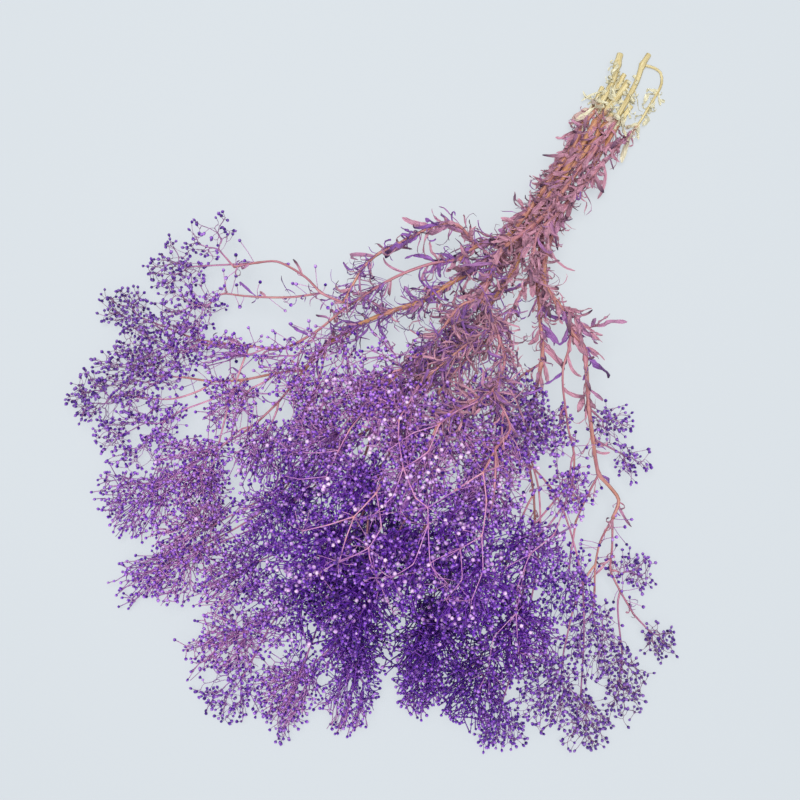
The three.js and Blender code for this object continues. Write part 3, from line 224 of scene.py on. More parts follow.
STEMS = (
    StemPlan("stem_1", (
        LimbPlan((2.3, 1.25), (
            (-17, 238, 10), (-15, 231, 10), (-13, 222, 10), (-12, 207, 11), (-10, 190, 12),
            (-11, 170, 13), (-13, 150, 14), (-13, 134, 15.5), (-14, 118, 20), (-17, 102, 26),
            (-23, 95, 30), (-30, 86, 34), (-35, 73, 38),
        ), (1, 4, 8, 12), LeafRule(4, 1, 22, 11)),
        LimbPlan((1.15, 0.95), (
            (-30, 86, 34), (-38, 89, 36), (-46, 91, 39), (-58, 84, 43), (-65, 74, 46),
            (-72, 62, 47), (-80, 49, 46), (-83, 37, 44), (-83, 24, 41), (-82, 12, 38),
        ), leaves=LeafRule(1, 1, 24, 12, True)),
        LimbPlan((0.95, 0.75), (
            (-82, 12, 38), (-97, 10, 36), (-110, 13, 37), (-131, 12, 35), (-141, 5, 32),
            (-152, -5, 28),
        ), leaves=LeafRule(2, 3, 18, 13)),
        LimbPlan((0.85, 0.7), (
            (-97, 10, 36), (-110, -1, 32), (-124, -10, 28), (-137, -17, 24), (-148, -22, 20),
        ), leaves=LeafRule(2, 2, 10, 14)),
        LimbPlan((1.15, 0.8), (
            (-35, 73, 38), (-48, 62, 38), (-58, 50, 37), (-64, 41, 36), (-71, 28, 34), (-80, 8, 31),
            (-87, -12, 29), (-100, -33, 26), (-118, -42, 22), (-132, -49, 19), (-148, -56, 16),
        ), leaves=LeafRule(1, 1, 23, 15)),
    )),
    StemPlan("stem_2", (
        LimbPlan((2.3, 1.3), (
            (-1, 227, 14), (-4, 216, 12), (-5, 203, 10), (-6, 190, 8.5), (-6, 170, 8),
            (-8, 150, 8.5), (-9, 130, 10), (-9, 112, 15), (-13, 95, 22), (-22, 76, 28),
            (-33, 55, 31), (-40, 40, 32), (-55, 22, 31), (-68, 3, 28), (-77, -16, 25),
            (-81, -37, 23),
        ), (3, 7, 12), LeafRule(4, 1, 24, 21), hollow=True),
        LimbPlan((1.05, 0.75), (
            (-81, -37, 23), (-95, -48, 22), (-110, -62, 20), (-126, -73, 18), (-142, -80, 16),
        ), leaves=LeafRule(2, 2, 9, 22)),
        LimbPlan((0.9, 0.75), ((-81, -37, 23), (-84, -62, 24), (-90, -84, 24), (-100, -105, 22))),
    )),
    StemPlan("stem_3", (
        LimbPlan((1.9, 1.45), (
            (-1.5, 246, 6), (-1.5, 238, 6), (-1, 228, 5.5), (0, 214, 5), (-1, 190, 5),
            (-1, 170, 5.5), (-2, 150, 8.5), (-4, 130, 13), (-9, 113, 27), (-14, 98, 38),
            (-15, 85, 46), (-12, 70, 54), (-11, 59, 60),
        ), (1, 5, 8, 13), LeafRule(5, 1, 23, 31)),
        LimbPlan((1.1, 0.8), (
            (-1.5, 238, 6), (6, 241, 7), (11, 241, 8), (15, 236, 9), (16, 222, 10), (16, 205, 11),
            (13, 190, 12), (11, 175, 13), (8, 160, 14), (5, 147, 15), (3, 131, 21), (-2, 114, 31),
            (3, 100, 40), (8, 88, 46), (9, 75, 51), (10, 58, 55), (6, 38, 58), (1, 18, 59),
            (-2, -4, 60),
        ), leaves=LeafRule(7, 2, 20, 32)),
        LimbPlan((1.15, 0.8), (
            (-11, 59, 60), (-19, 49, 63), (-21, 30, 63), (-23, 12, 61), (-28, -3, 58),
            (-33, -22, 55),
        ), leaves=LeafRule(1, 1, 23, 33)),
        LimbPlan((1.3, 0.85), (
            (-11, 59, 60), (0, 54, 66), (6, 50, 69), (14, 43, 72), (21, 38, 74), (25, 28, 77),
            (26, 15, 80), (20, 4, 83), (12, -8, 86), (8, -22, 88),
        ), leaves=LeafRule(2, 2, 22, 34)),
        LimbPlan((0.85, 0.7), (
            (26, 15, 80), (38, 8, 83), (48, 0, 84), (47, -16, 84), (48, -32, 83),
        )),
        LimbPlan((0.8, 0.65), (
            (6, 50, 69), (0, 38, 71), (-5, 25, 73), (-9, 13, 75), (-14, -2, 77),
        )),
    ), Slot.MAUVE),
    StemPlan("stem_4", (
        LimbPlan((1.8, 1.2), (
            (-2, 204, 15), (-4, 190, 15.5), (-3, 175, 15.5), (-6, 158, 16), (-8, 140, 18),
            (-8, 124, 21), (-5, 106, 22), (-3, 88, 25), (-3, 70, 29), (-4, 50, 34), (-6, 30, 38),
            (-11, 8, 42), (-15, -14, 45),
        ), (1, 5, 9), LeafRule(2, 2, 22, 41)),
        LimbPlan((0.95, 0.7), (
            (-15, -14, 45), (-12, -34, 49), (-9, -44, 51), (-8, -60, 54), (-6, -80, 57),
            (-7, -97, 59),
        )),
        LimbPlan((0.85, 0.65), ((-9, -44, 51), (5, -58, 55), (22, -70, 58), (35, -78, 60))),
        LimbPlan((0.95, 0.75), ((-11, 8, 42), (-24, -18, 42), (-36, -44, 40), (-38, -68, 37))),
    )),
    StemPlan("stem_5", (
        LimbPlan((1.8, 1.15), (
            (6, 212, 4), (5, 195, 3.5), (5, 175, 3.5), (5, 155, 4.5), (4, 136, 9), (6, 116, 17),
            (12, 99, 25), (19, 88, 30), (32, 82, 34), (40, 78, 36), (48, 72, 37), (60, 68, 38),
            (65, 62, 38), (75, 48, 36), (83, 37, 34), (95, 22, 30), (105, 10, 27), (110, 5, 26),
            (120, 2, 24), (129, -2, 22), (132, -14, 20),
        ), (4, 8, 12, 17), LeafRule(3, 2, 20, 51)),
        LimbPlan((0.85, 0.7), ((132, -14, 20), (133, -30, 18), (138, -44, 16), (146, -58, 15))),
        LimbPlan((0.85, 0.7), (
            (132, -14, 20), (141, -29, 18), (148, -42, 16), (160, -50, 14), (175, -58, 12),
        )),
        LimbPlan((0.85, 0.7), ((110, 5, 26), (111, -10, 27), (113, -28, 27))),
        LimbPlan((0.85, 0.7), (
            (48, 72, 37), (53, 61, 40), (56, 50, 42), (62, 40, 42), (70, 30, 42), (80, 18, 41),
            (90, 8, 40), (98, -6, 39), (102, -22, 38),
        ), leaves=LeafRule(1, 1, 17, 52)),
        LimbPlan((0.6, 0.45), (
            (32, 82, 34), (42, 82, 38), (52, 79, 40), (57, 80, 41), (61, 85, 42),
        ), leaves=LeafRule(1, 2, 10, 53)),
    )),
    StemPlan("stem_6", (
        LimbPlan((1.7, 1.15), (
            (-8, 226, 0), (-8, 214, 0), (-7, 190, 0), (-6, 168, 0), (-6, 150, 0), (-1, 130, 4),
            (2, 112, 9), (8, 98, 15), (14, 87, 19), (22, 77, 22), (30, 65, 25), (37, 56, 27),
            (43, 45, 29), (47, 34, 30), (51, 24, 30),
        ), (5, 9), LeafRule(5, 2, 22, 61), level=4),
        LimbPlan((1.05, 0.8), (
            (51, 24, 30), (56, 10, 26), (62, -4, 24), (70, -13, 23), (82, -27, 22), (91, -40, 22),
        )),
        LimbPlan((0.95, 0.75), (
            (43, 45, 29), (36, 30, 24), (34, 12, 20), (40, -10, 18), (48, -34, 18), (55, -58, 18),
        ), leaves=LeafRule(1, 1, 20, 62)),
    )),
    StemPlan("stem_7", (
        LimbPlan((1.7, 1.1), (
            (-14, 213, 4), (-13, 195, 4), (-14, 175, 4), (-14, 155, 4.5), (-12, 136, 5),
            (-11, 116, 7), (-12, 96, 10), (-14, 75, 13), (-15, 52, 15), (-15, 30, 17), (-16, 8, 18),
            (-20, -16, 19), (-25, -42, 20),
        ), (3, 7), LeafRule(4, 2, 24, 71)),
        LimbPlan((1, 0.75), ((-25, -42, 20), (-38, -70, 19), (-52, -98, 18), (-62, -122, 17))),
        LimbPlan((1, 0.75), (
            (-25, -42, 20), (-18, -72, 20), (-10, -104, 19), (-4, -134, 17), (-6, -158, 14),
        )),
        LimbPlan((0.95, 0.75), ((-18, -72, 20), (2, -92, 20), (22, -116, 19), (34, -140, 17))),
    )),
)

SPRAYS = tuple(SprayPlan(*row) for row in (
    (1, (-152, -5), (-175, 2, 27), (14, 17, 8), 34),
    (1, (-152, -5), (-182, -24, 14), (19, 15, 12), 85),
    (1, (-148, -22), (-161, -42, 20), (22, 20, 15), 150),
    (1, (-132, -49), (-163, -68, 18), (26, 20, 15), 230),
    (1, (-148, -56), (-193, -64, 9), (18, 13, 8), 95),
    (2, (-68, 3), (-70, -22, 38), (22, 18, 12), 70),
    (2, (-126, -73), (-181, -120, 11), (19, 15, 10), 115),
    (2, (-110, -62), (-146, -120, 17), (28, 20, 15), 230),
    (2, (-100, -105), (-126, -157, 13), (26, 20, 12), 230),
    (7, (-52, -98), (-97, -199, 9), (24, 13, 8), 120),
    (7, (-62, -122), (-84, -158, 24), (24, 20, 17), 220),
    (2, (-100, -105), (-108, -124, 30), (22, 20, 15), 220),
    (2, (-95, -48), (-110, -78, 26), (18, 16, 12), 120),
    (2, (-84, -62), (-76, -92, 36), (22, 18, 16), 190),
    (2, (-77, -16), (-66, -46, 42), (22, 18, 15), 150),
    (3, (-28, -3), (-44, -32, 58), (20, 17, 13), 240),
    (3, (-33, -22), (-48, -72, 60), (26, 20, 18), 300),
    (4, (-38, -68), (-46, -116, 48), (28, 21, 20), 330),
    (7, (-62, -122), (-50, -166, 24), (25, 20, 16), 280),
    (7, (-6, -158), (-32, -204, 15), (25, 20, 12), 230),
    (7, (-6, -158), (-14, -230, 8), (19, 20, 7), 150),
    (7, (-6, -158), (16, -208, 15), (24, 18, 11), 230),
    (7, (34, -140), (50, -192, 12), (25, 16, 11), 190),
    (7, (-10, -104), (-8, -164, 42), (24, 22, 18), 330),
    (4, (-7, -97), (-14, -126, 74), (25, 23, 21), 380),
    (4, (-8, -60), (-16, -80, 80), (20, 18, 14), 300),
    (3, (-14, -2), (-18, -32, 84), (22, 18, 13), 260),
    (3, (8, -22), (14, -58, 96), (24, 19, 14), 320),
    (4, (35, -78), (34, -106, 88), (26, 23, 20), 380),
    (4, (22, -70), (24, -142, 62), (27, 23, 21), 360),
    (6, (47, 34), (44, 12, 48), (22, 20, 12), 170),
    (6, (51, 24), (58, 6, 42), (20, 19, 13), 240),
    (3, (48, -32), (52, -62, 88), (25, 19, 15), 320),
    (3, (47, -16), (82, -96, 78), (27, 22, 19), 360),
    (6, (55, -58), (74, -138, 46), (27, 22, 20), 350),
    (5, (83, 37), (99, 34, 24), (12, 12, 9), 70),
    (5, (95, 22), (123, 24, 14), (11, 10, 7), 40),
    (5, (90, 8), (97, -14, 46), (17, 15, 9), 110),
    (5, (102, -22), (98, -60, 52), (25, 20, 15), 260),
    (6, (91, -40), (118, -106, 42), (28, 23, 21), 360),
    (6, (82, -27), (112, -146, 17), (24, 20, 14), 260),
    (5, (148, -42), (160, -35, 11), (12, 11, 9), 60),
    (5, (113, -28), (129, -64, 24), (21, 17, 13), 180),
    (5, (146, -58), (160, -84, 18), (23, 18, 13), 180),
    (5, (138, -44), (154, -122, 18), (26, 20, 14), 240),
    (5, (175, -58), (197, -64, 7), (12, 11, 5), 50),
    (5, (160, -50), (190, -96, 9), (22, 13, 8), 130),
    (6, (70, -13), (184, -130, 9), (17, 14, 8), 120),
    (6, (55, -58), (84, -164, 13), (20, 16, 10), 190),
    (6, (91, -40), (140, -160, 10), (17, 14, 9), 140),
    (3, (6, 38), (26, 2, 66), (22, 18, 12), 180),
    (3, (-2, -4), (20, -20, 72), (24, 18, 12), 220),
    (3, (48, 0), (50, -24, 66), (22, 20, 14), 220),
))

# Sprays in between, which the solids leave out: start, middle, reach and buds.
SIDE_SPRAYS = tuple(SprayPlan(0, *row) for row in (
    ((-142, -80), (-168, -94, 16), (26, 18, 14), 185),
    ((34, -140), (36, -166, 28), (20, 20, 16), 260),
    ((48, -34), (50, -94, 28), (24, 22, 13), 290),
    ((-18, -72), (4, -128, 26), (22, 20, 12), 290),
    ((16, -52), (14, -94, 30), (26, 22, 12), 240),
    ((62, -70), (78, -124, 24), (22, 20, 11), 230),
    ((-62, -122), (-84, -184, 16), (20, 17, 10), 120),
    ((-6, -158), (22, -226, 9), (18, 12, 6), 60),
    ((-100, -105), (-92, -136, 20), (18, 16, 10), 110),
    ((48, -34), (66, -44, 60), (16, 14, 10), 90),
    ((-23, 12), (-34, -10, 54), (22, 20, 12), 90),
    ((-77, -16), (-90, -38, 32), (20, 18, 12), 60),
    ((-81, -37), (-64, -62, 36), (20, 18, 14), 110),
    ((-14, -14), (-4, -34, 66), (22, 20, 14), 170),
    ((-110, -62), (-124, -54, 26), (16, 16, 10), 60),
    ((70, 30), (74, 14, 42), (14, 12, 8), 40),
))

WINDOWS = tuple(Window(*row) for row in (
    ((-119, -59), (15, 7), 33),
    ((-129, -88), (10, 6), 30),
    ((-80, -67), (10, 6), 35),
    ((-173, -122), (7, 5), 0),
    ((-156, -111), (6, 4), 0),
    ((-111, -86), (5, 4), 72),
    ((-97, -83), (5, 3), 73),
    ((-149, -128), (8, 5), 134),
    ((-135, -136), (9, 4), 137),
    ((-143, -48), (5, 4), 49),
    ((-82, -12), (7, 6), 100),
    ((-68, 15), (6, 3), 65),
    ((-59, 52), (17, 6), 79),
    ((43, 62), (19, 8), 131),
    ((90, 0), (6, 5), 60),
    ((79, -9), (7, 4), 156),
    ((90, -28), (6, 5), 110),
    ((123, -15), (18, 7), 110),
    ((-26, -230), (9, 5), 0),
))

TOP_TWIGS = tuple(TwigPlan(*row) for row in (
    ((0.6, 0.42), ((-14, -2, 77), (-14, -32, 100), (-8, -42, 103), (4, -56, 107)), 3),
    ((0.45, 0.36), ((4, -56, 107), (21, -68, 109), (30, -69, 109), (36, -78, 109))),
    ((0.36, 0.26), ((36, -78, 109), (41, -104, 108), (34, -118, 106))),
    ((0.36, 0.26), ((36, -78, 109), (50, -98, 107), (59, -103, 104))),
    ((0.36, 0.26), ((4, -56, 107), (8, -74, 107), (4, -90, 105))),
    ((0.65, 0.5), ((48, -16, 84), (54, -24, 96), (48, -32, 103), (39, -51, 107)), 3),
    ((0.4, 0.3), ((39, -51, 107), (30, -69, 109), (17, -80, 107))),
    ((0.5, 0.36), ((48, -32, 103), (59, -46, 103), (68, -66, 101), (61, -80, 103))),
    ((0.32, 0.24), ((61, -80, 103), (50, -98, 107), (66, -103, 102))),
    ((0.32, 0.24), ((61, -80, 103), (72, -96, 98), (70, -112, 95))),
    ((0.65, 0.5), ((-8, -60, 54), (-4, -66, 90), (-2, -78, 101), (-6, -98, 100)), 4),
    ((0.5, 0.34), ((-6, -98, 100), (-17, -111, 98), (-29, -123, 90))),
    ((0.5, 0.34), ((-6, -98, 100), (-3, -113, 99), (1, -127, 97))),
    ((0.45, 0.36), ((-2, -78, 101), (12, -95, 106), (12, -110, 105), (6, -120, 103))),
    ((0.36, 0.26), ((12, -110, 105), (16, -115, 105), (26, -123, 104), (46, -136, 95))),
    ((0.36, 0.26), ((6, -120, 103), (1, -126, 99), (-6, -140, 94))),
    ((0.6, 0.4), ((20, 4, 83), (9, -21, 103), (12, -39, 107), (6, -53, 107)), 3),
    ((0.36, 0.26), ((9, -21, 103), (-2, -34, 102), (-10, -52, 101))),
    ((0.6, 0.36), ((-33, -22, 55), (-37, -54, 80), (-36, -68, 82), (-34, -86, 78)), 3),
    ((0.36, 0.28), ((-34, -86, 78), (-47, -96, 74), (-58, -100, 66))),
    ((0.36, 0.28), ((-36, -68, 82), (-46, -76, 78), (-60, -84, 70))),
    ((0.6, 0.4), ((26, 15, 80), (22, 4, 91), (14, -8, 95), (8, -20, 103)), 3),
    ((0.4, 0.28), ((68, -66, 101), (80, -84, 97), (84, -104, 94))),
    ((0.5, 0.34), ((102, -22, 38), (106, -42, 66), (100, -60, 68), (104, -82, 64)), 5),
    ((0.36, 0.26), ((100, -60, 68), (92, -74, 70), (90, -92, 72))),
    ((0.5, 0.34), ((91, -40, 22), (102, -70, 56), (112, -96, 64), (126, -116, 56)), 6),
    ((0.36, 0.26), ((112, -96, 64), (108, -116, 60), (116, -136, 44))),
))


def add(a: Sequence[float], b: Sequence[float], t: float = 1.0) -> Point:
    """The sum of a and t times b."""
    return (a[0] + b[0] * t, a[1] + b[1] * t, a[2] + b[2] * t)


def minus(a: Sequence[float], b: Sequence[float]) -> Point:
    """The way from b to a."""
    return (a[0] - b[0], a[1] - b[1], a[2] - b[2])


def dot(a: Sequence[float], b: Sequence[float]) -> float:
    """The scalar product."""
    return a[0] * b[0] + a[1] * b[1] + a[2] * b[2]


def cross(a: Sequence[float], b: Sequence[float]) -> Point:
    """The vector product."""
    return (a[1] * b[2] - a[2] * b[1], a[2] * b[0] - a[0] * b[2], a[0] * b[1] - a[1] * b[0])


def size(a: Sequence[float]) -> float:
    """The length of a vector."""
    return math.sqrt(dot(a, a))


def times(a: Sequence[float], t: float) -> Point:
    """A vector t times as long."""
    return (a[0] * t, a[1] * t, a[2] * t)


def unit(a: Sequence[float]) -> Point:
    """A vector of length one the same way."""
    return times(a, 1 / (size(a) or 1))


def mix(a: Sequence[float], b: Sequence[float], t: float) -> Point:
    """The place a share t of the way from a to b."""
    return add(a, minus(b, a), t)


def turned(vector: Sequence[float], axis: Sequence[float], angle: float) -> Point:
    """A vector turned about an axis by an angle in radians."""
    cosine = math.cos(angle)
    along = times(axis, dot(axis, vector) * (1 - cosine))
    around = times(cross(axis, vector), math.sin(angle))
    return add(add(along, vector, cosine), around)


def tilted(way: Point, about: Point, least: float, most: float) -> Point:
    """A direction kept within a cone round another."""
    angle = math.acos(min(1, max(-1, dot(way, about))))
    aside = unit(add(way, about, -dot(way, about)))
    kept = min(most, max(least, angle))
    return unit(add(times(about, math.cos(kept)), aside, math.sin(kept)))


class Draws:
    """Seeded draws, alike in every run and in the part's source."""

    def __init__(self, seed: int) -> None:
        """Starts the row of draws at a seed."""
        self.state = seed & WORD

    def __call__(self) -> float:
        """The next draw, from 0 up to 1."""
        self.state = (self.state + 0x6D2B79F5) & WORD
        mixed = (self.state ^ self.state >> 15) * (self.state | 1) & WORD
        mixed ^= mixed + ((mixed ^ mixed >> 7) * (mixed | 61) & WORD) & WORD
        return (mixed ^ mixed >> 14) / (WORD + 1)

    def between(self, span: Pair) -> float:
        """The next draw, spread over a span."""
        return span[0] + self() * (span[1] - span[0])


@dataclass(eq=False)
class Spot:
    """A place on a limb, shared by the limbs that meet there."""

    at: Point
    held: bool = False
    joint: bool = False
    bears: bool = False


@dataclass(eq=False)
class Chain:
    """A limb or an arm as a row of spots, with the radius at each."""

    spots: list[Spot]
    radii: list[float]
    plan: LimbPlan | None = None

    @property
    def places(self) -> list[Point]:
        """Where its spots lie."""
        return [spot.at for spot in self.spots]


@dataclass(eq=False)
class Stretch:
    """A straight length between two spots, which others keep clear of."""

    owner: int
    a: Spot
    b: Spot
    radius: float
    blade: bool = False


def approach(a: Point, b: Point, c: Point, d: Point) -> tuple[float, Point, float, float]:
    """The nearest approach of two straight lengths.

    Args:
        a: The start of the first.
        b: The end of the first.
        c: The start of the second.
        d: The end of the second.

    Returns:
        The distance, the way from the second to the first, and the place on each, from 0 to 1.
    """
    ux, uy, uz = b[0] - a[0], b[1] - a[1], b[2] - a[2]
    vx, vy, vz = d[0] - c[0], d[1] - c[1], d[2] - c[2]
    wx, wy, wz = a[0] - c[0], a[1] - c[1], a[2] - c[2]
    uu = ux * ux + uy * uy + uz * uz or TINY
    vv = vx * vx + vy * vy + vz * vz or TINY
    uv = ux * vx + uy * vy + uz * vz
    uw = ux * wx + uy * wy + uz * wz
    vw = vx * wx + vy * wy + vz * wz
    spread = uu * vv - uv * uv
    s = min(1.0, max(0.0, (uv * vw - uw * vv) / spread)) if spread > TINY else 0.5
    t = (uv * s + vw) / vv
    if t < 0 or t > 1:
        t = min(1.0, max(0.0, t))
        s = min(1.0, max(0.0, (uv * t - uw) / uu))
    x = wx + ux * s - vx * t
    y = wy + uy * s - vy * t
    z = wz + uz * s - vz * t
    return math.sqrt(x * x + y * y + z * z), (x, y, z), s, t


class Bunch:
    """The centre lines of all stems and arms, laid on the table and bent clear of each other."""

    def __init__(
        self, stems: Sequence[StemPlan], sprays: Sequence[SprayPlan],
        side_sprays: Sequence[SprayPlan],
    ) -> None:
        """Grows the chains, lets them settle, and keeps their stretches.

        Args:
            stems: The plans of the stems.
            sprays: The plans of the sprays that they carry.
            side_sprays: The plans of the small sprays, which push nothing aside.
        """
        self.stems = [self.chains_of(stem) for stem in stems]
        self.arms = [self.arm_of(self.stems[spray.stem - 1], spray) for spray in sprays]
        grown = [*self.stems, *([arm] for arm in self.arms)]
        self.stretches = self.settled(grown)
        limbs = [chain for chains in self.stems for chain in chains]
        self.side_arms = [self.arm_of(limbs, spray) for spray in side_sprays]

    def chains_of(self, stem: StemPlan) -> list[Chain]:
        """The limbs of a stem as chains that share the spots where they meet."""
        chains: list[Chain] = []
        for limb in stem.limbs:
            last = len(limb.path) - 1
            thick, thin = limb.radii
            radii = [thick + (thin - thick) * (i / last) for i in range(last + 1)]
            spots = []
            for i, place in enumerate(limb.path):
                level = i <= limb.level
                if level:
                    radii[i] = thick
                height = thick * math.cos(math.pi / STALK_SIDES) if level else place[2]
                at = SIGHT.placed((place[0], place[1], height))
                spots.append(Spot(at, held=level, joint=i in limb.joints))
            if chains:
                spots[0] = self.nearest(chains, spots[0].at)
            chains.append(Chain(spots, radii, limb))
        return chains

    @staticmethod
    def nearest(chains: Sequence[Chain], target: Sequence[float], free: bool = False) -> Spot:
        """The spot nearest to a place across the table, or the nearest that bears no arm yet."""
        spots = [spot for chain in chains for spot in chain.spots if not (free and spot.bears)]
        return min(spots, key=lambda s: math.hypot(s.at[0] - target[0], s.at[1] - target[1]))

    def arm_of(self, chains: Sequence[Chain], spray: SprayPlan) -> Chain:
        """The arm of a spray: it leaves along the limb it grows from and bends over to the spray.

        Args:
            chains: The limbs of the stem that bears it.
            spray: The plan of the spray.

        Returns:
            The arm as a chain that starts at a spot of its limb.
        """
        root = self.nearest(chains, spray.start, free=True)
        root.bears = True
        chain = next(one for one in chains if root in one.spots and one.spots.index(root) > 0)
        index = chain.spots.index(root)
        along = unit(minus(root.at, chain.spots[index - 1].at))
        middle = SIGHT.placed(spray.middle)
        way = unit(minus(middle, root.at))
        foot = add(middle, way, -spray.reach[0] * ARM.reach)
        short = size(minus(foot, root.at)) < ARM.crook
        tip = add(root.at, unit(add(way, along, ARM.short)), ARM.crook) if short else foot
        run = size(minus(tip, root.at))
        last = index == len(chain.spots) - 1
        ends = last and all(other.spots[0] is not root for other in chains)
        leaving = tilted(way, along, 0 if ends else ARM.tilt[0], ARM.tilt[1])
        crook = root if ends else Spot(add(root.at, leaving, ARM.crook))
        bend = add(add(crook.at, leaving, run * ARM.bend), UP, run * ARM.lift)
        steps = max(1, math.floor(run / ARM.step + 0.5))
        spots = [root] if ends else [root, crook]
        for step in range(1, steps + 1):
            t = step / steps
            spots.append(Spot(mix(mix(crook.at, bend, t), mix(bend, tip, t), t)))
        thinning = (ARM.root_radius - ARM.tip_radius) / (len(spots) - 1)
        return Chain(spots, [ARM.root_radius - thinning * i for i in range(len(spots))])

    @staticmethod
    def sink(chain: Chain) -> None:
        """In the bundle a stalk sinks onto the others, as a stiff rod would."""
        heights = [place[2] for place in chain.places]
        low, high = BEND.bundle
        for i, spot in enumerate(chain.spots):
            if spot.held:
                continue
            weight = min(1, max(0, (spot.at[1] - low) / (high - low)))
            inner = 0 < i < len(heights) - 1
            even = (heights[i - 1] + heights[i + 1]) / 2 if inner else heights[i]
            spot.at = add(spot.at, UP, weight * ((even - heights[i]) * BEND.stiffness - BEND.sink))

    def settled(self, grown: Sequence[Sequence[Chain]]) -> list[Stretch]:
        """Limbs and arms that come too near are bent apart, and nothing sinks into the table.

        Args:
            grown: The chains of each owner, stems first and then arms.

        Returns:
            Every stretch of every chain, once all are clear.
        """
        stretches = []
        for owner, chains in enumerate(grown):
            for chain in chains:
                for i, spot in enumerate(chain.spots):
                    if spot.joint:
                        swollen = chain.radii[i] * BEND.swelling
                        stretches.append(Stretch(owner, spot, spot, swollen))
                    if i:
                        radius = max(chain.radii[i], chain.radii[i - 1])
                        stretches.append(Stretch(owner, chain.spots[i - 1], spot, radius))
        pairs = []
        for i, one in enumerate(stretches):
            for two in stretches[i + 1:]:
                joined = one.a is two.a or one.a is two.b or one.b is two.a
                if one.owner == two.owner or joined:
                    continue
                if approach(one.a.at, one.b.at, two.a.at, two.b.at)[0] < BEND.watch:
                    pairs.append((one, two, one.radius + two.radius + BEND.air))
        for round_number in range(BEND.rounds):
            if round_number < BEND.settling_rounds:
                for chains in grown:
                    for chain in chains:
                        self.sink(chain)
            touched = 0
            for one, two, need in pairs:
                distance, apart, s, t = approach(one.a.at, one.b.at, two.a.at, two.b.at)
                if distance >= need - BEND.touch:
                    continue
                touched += 1
                way = unit(apart) if distance > TINY else UP
                push = (need - distance) * BEND.push
                shares = ((one.a, 1 - s), (one.b, s), (two.a, t - 1), (two.b, -t))
                for spot, share in shares:
                    if not spot.held:
                        spot.at = add(spot.at, way, push * share)
            for stretch in stretches:
                floor = stretch.radius * BEND.floor
                for spot in (stretch.a, stretch.b):
                    if not spot.held and spot.at[2] < floor:
                        spot.at = (spot.at[0], spot.at[1], floor)
            if not touched and round_number >= BEND.settling_rounds:
                break
        LOG.info("settled %d pairs in %d rounds", len(pairs), round_number)
        return stretches


def units(rows: Array) -> Array:
    """Rows of vectors, each brought to length one."""
    return rows / np.maximum(np.linalg.norm(rows, axis=-1, keepdims=True), TINY)


def smooth_path(
    places: Sequence[Point], spacing: float, softness: float = 0.8
) -> tuple[Array, Array]:
    """A soft curve through places, which keeps close to the straight lengths between them.

    Args:
        places: The places that the curve passes through.
        spacing: How far apart its stations lie.
        softness: How gently it bends at each place.

    Returns:
        The stations, and the place number, with its fraction, of each.
    """
    spots = np.array(places, float)
    before = np.vstack([2 * spots[0] - spots[1], spots[:-1]])
    after = np.vstack([spots[1:], 2 * spots[-1] - spots[-2]])
    lean = units(units(spots - before) + units(after - spots))
    stations, marks = [], []
    for i in range(len(spots) - 1):
        run = np.linalg.norm(spots[i + 1] - spots[i])
        steps = max(1, round(run / spacing))
        last = i == len(spots) - 2
        t = np.arange(steps + last)[:, None] / steps
        pull = run * softness
        curve = (
            (2 * t**3 - 3 * t**2 + 1) * spots[i]
            + (t**3 - 2 * t**2 + t) * pull * lean[i]
            + (3 * t**2 - 2 * t**3) * spots[i + 1]
            + (t**3 - t**2) * pull * lean[i + 1]
        )
        stations.append(curve)
        marks.append(i + t[:, 0])
    return np.vstack(stations), np.concatenate(marks)


def joined(*parts: Array | float) -> Array:
    """Parts side by side along a last axis, each spread over the shape of all."""
    return np.stack(np.broadcast_arrays(*parts), axis=-1)


def ring_walls(low: Array, sides: int, foot: Array, head: Array, cell: Array) -> Faces:
    """The four-cornered walls between rings of corners.

    Args:
        low: The number of the first corner of the ring below each wall.
        sides: The corners of a ring.
        foot: How high in its cell a wall starts.
        head: How high it ends.
        cell: The cell that it lies in.

    Returns:
        The corner numbers, the layout and the cell of each wall.
    """
    k = np.arange(sides)
    following = (k + 1) % sides
    numbers = joined(low + k, low + following, low + sides + following, low + sides + k)
    left, right = k / sides, (k + 1) / sides
    layout = [
        joined(u, v, numbers[..., 0])[..., :2]
        for u, v in ((left, foot), (right, foot), (right, head), (left, head))
    ]
    cells = np.broadcast_to(cell, numbers.shape[:3])
    return numbers.reshape(-1, 4), np.stack(layout, -2).reshape(-1, 4, 2), cells.reshape(-1)


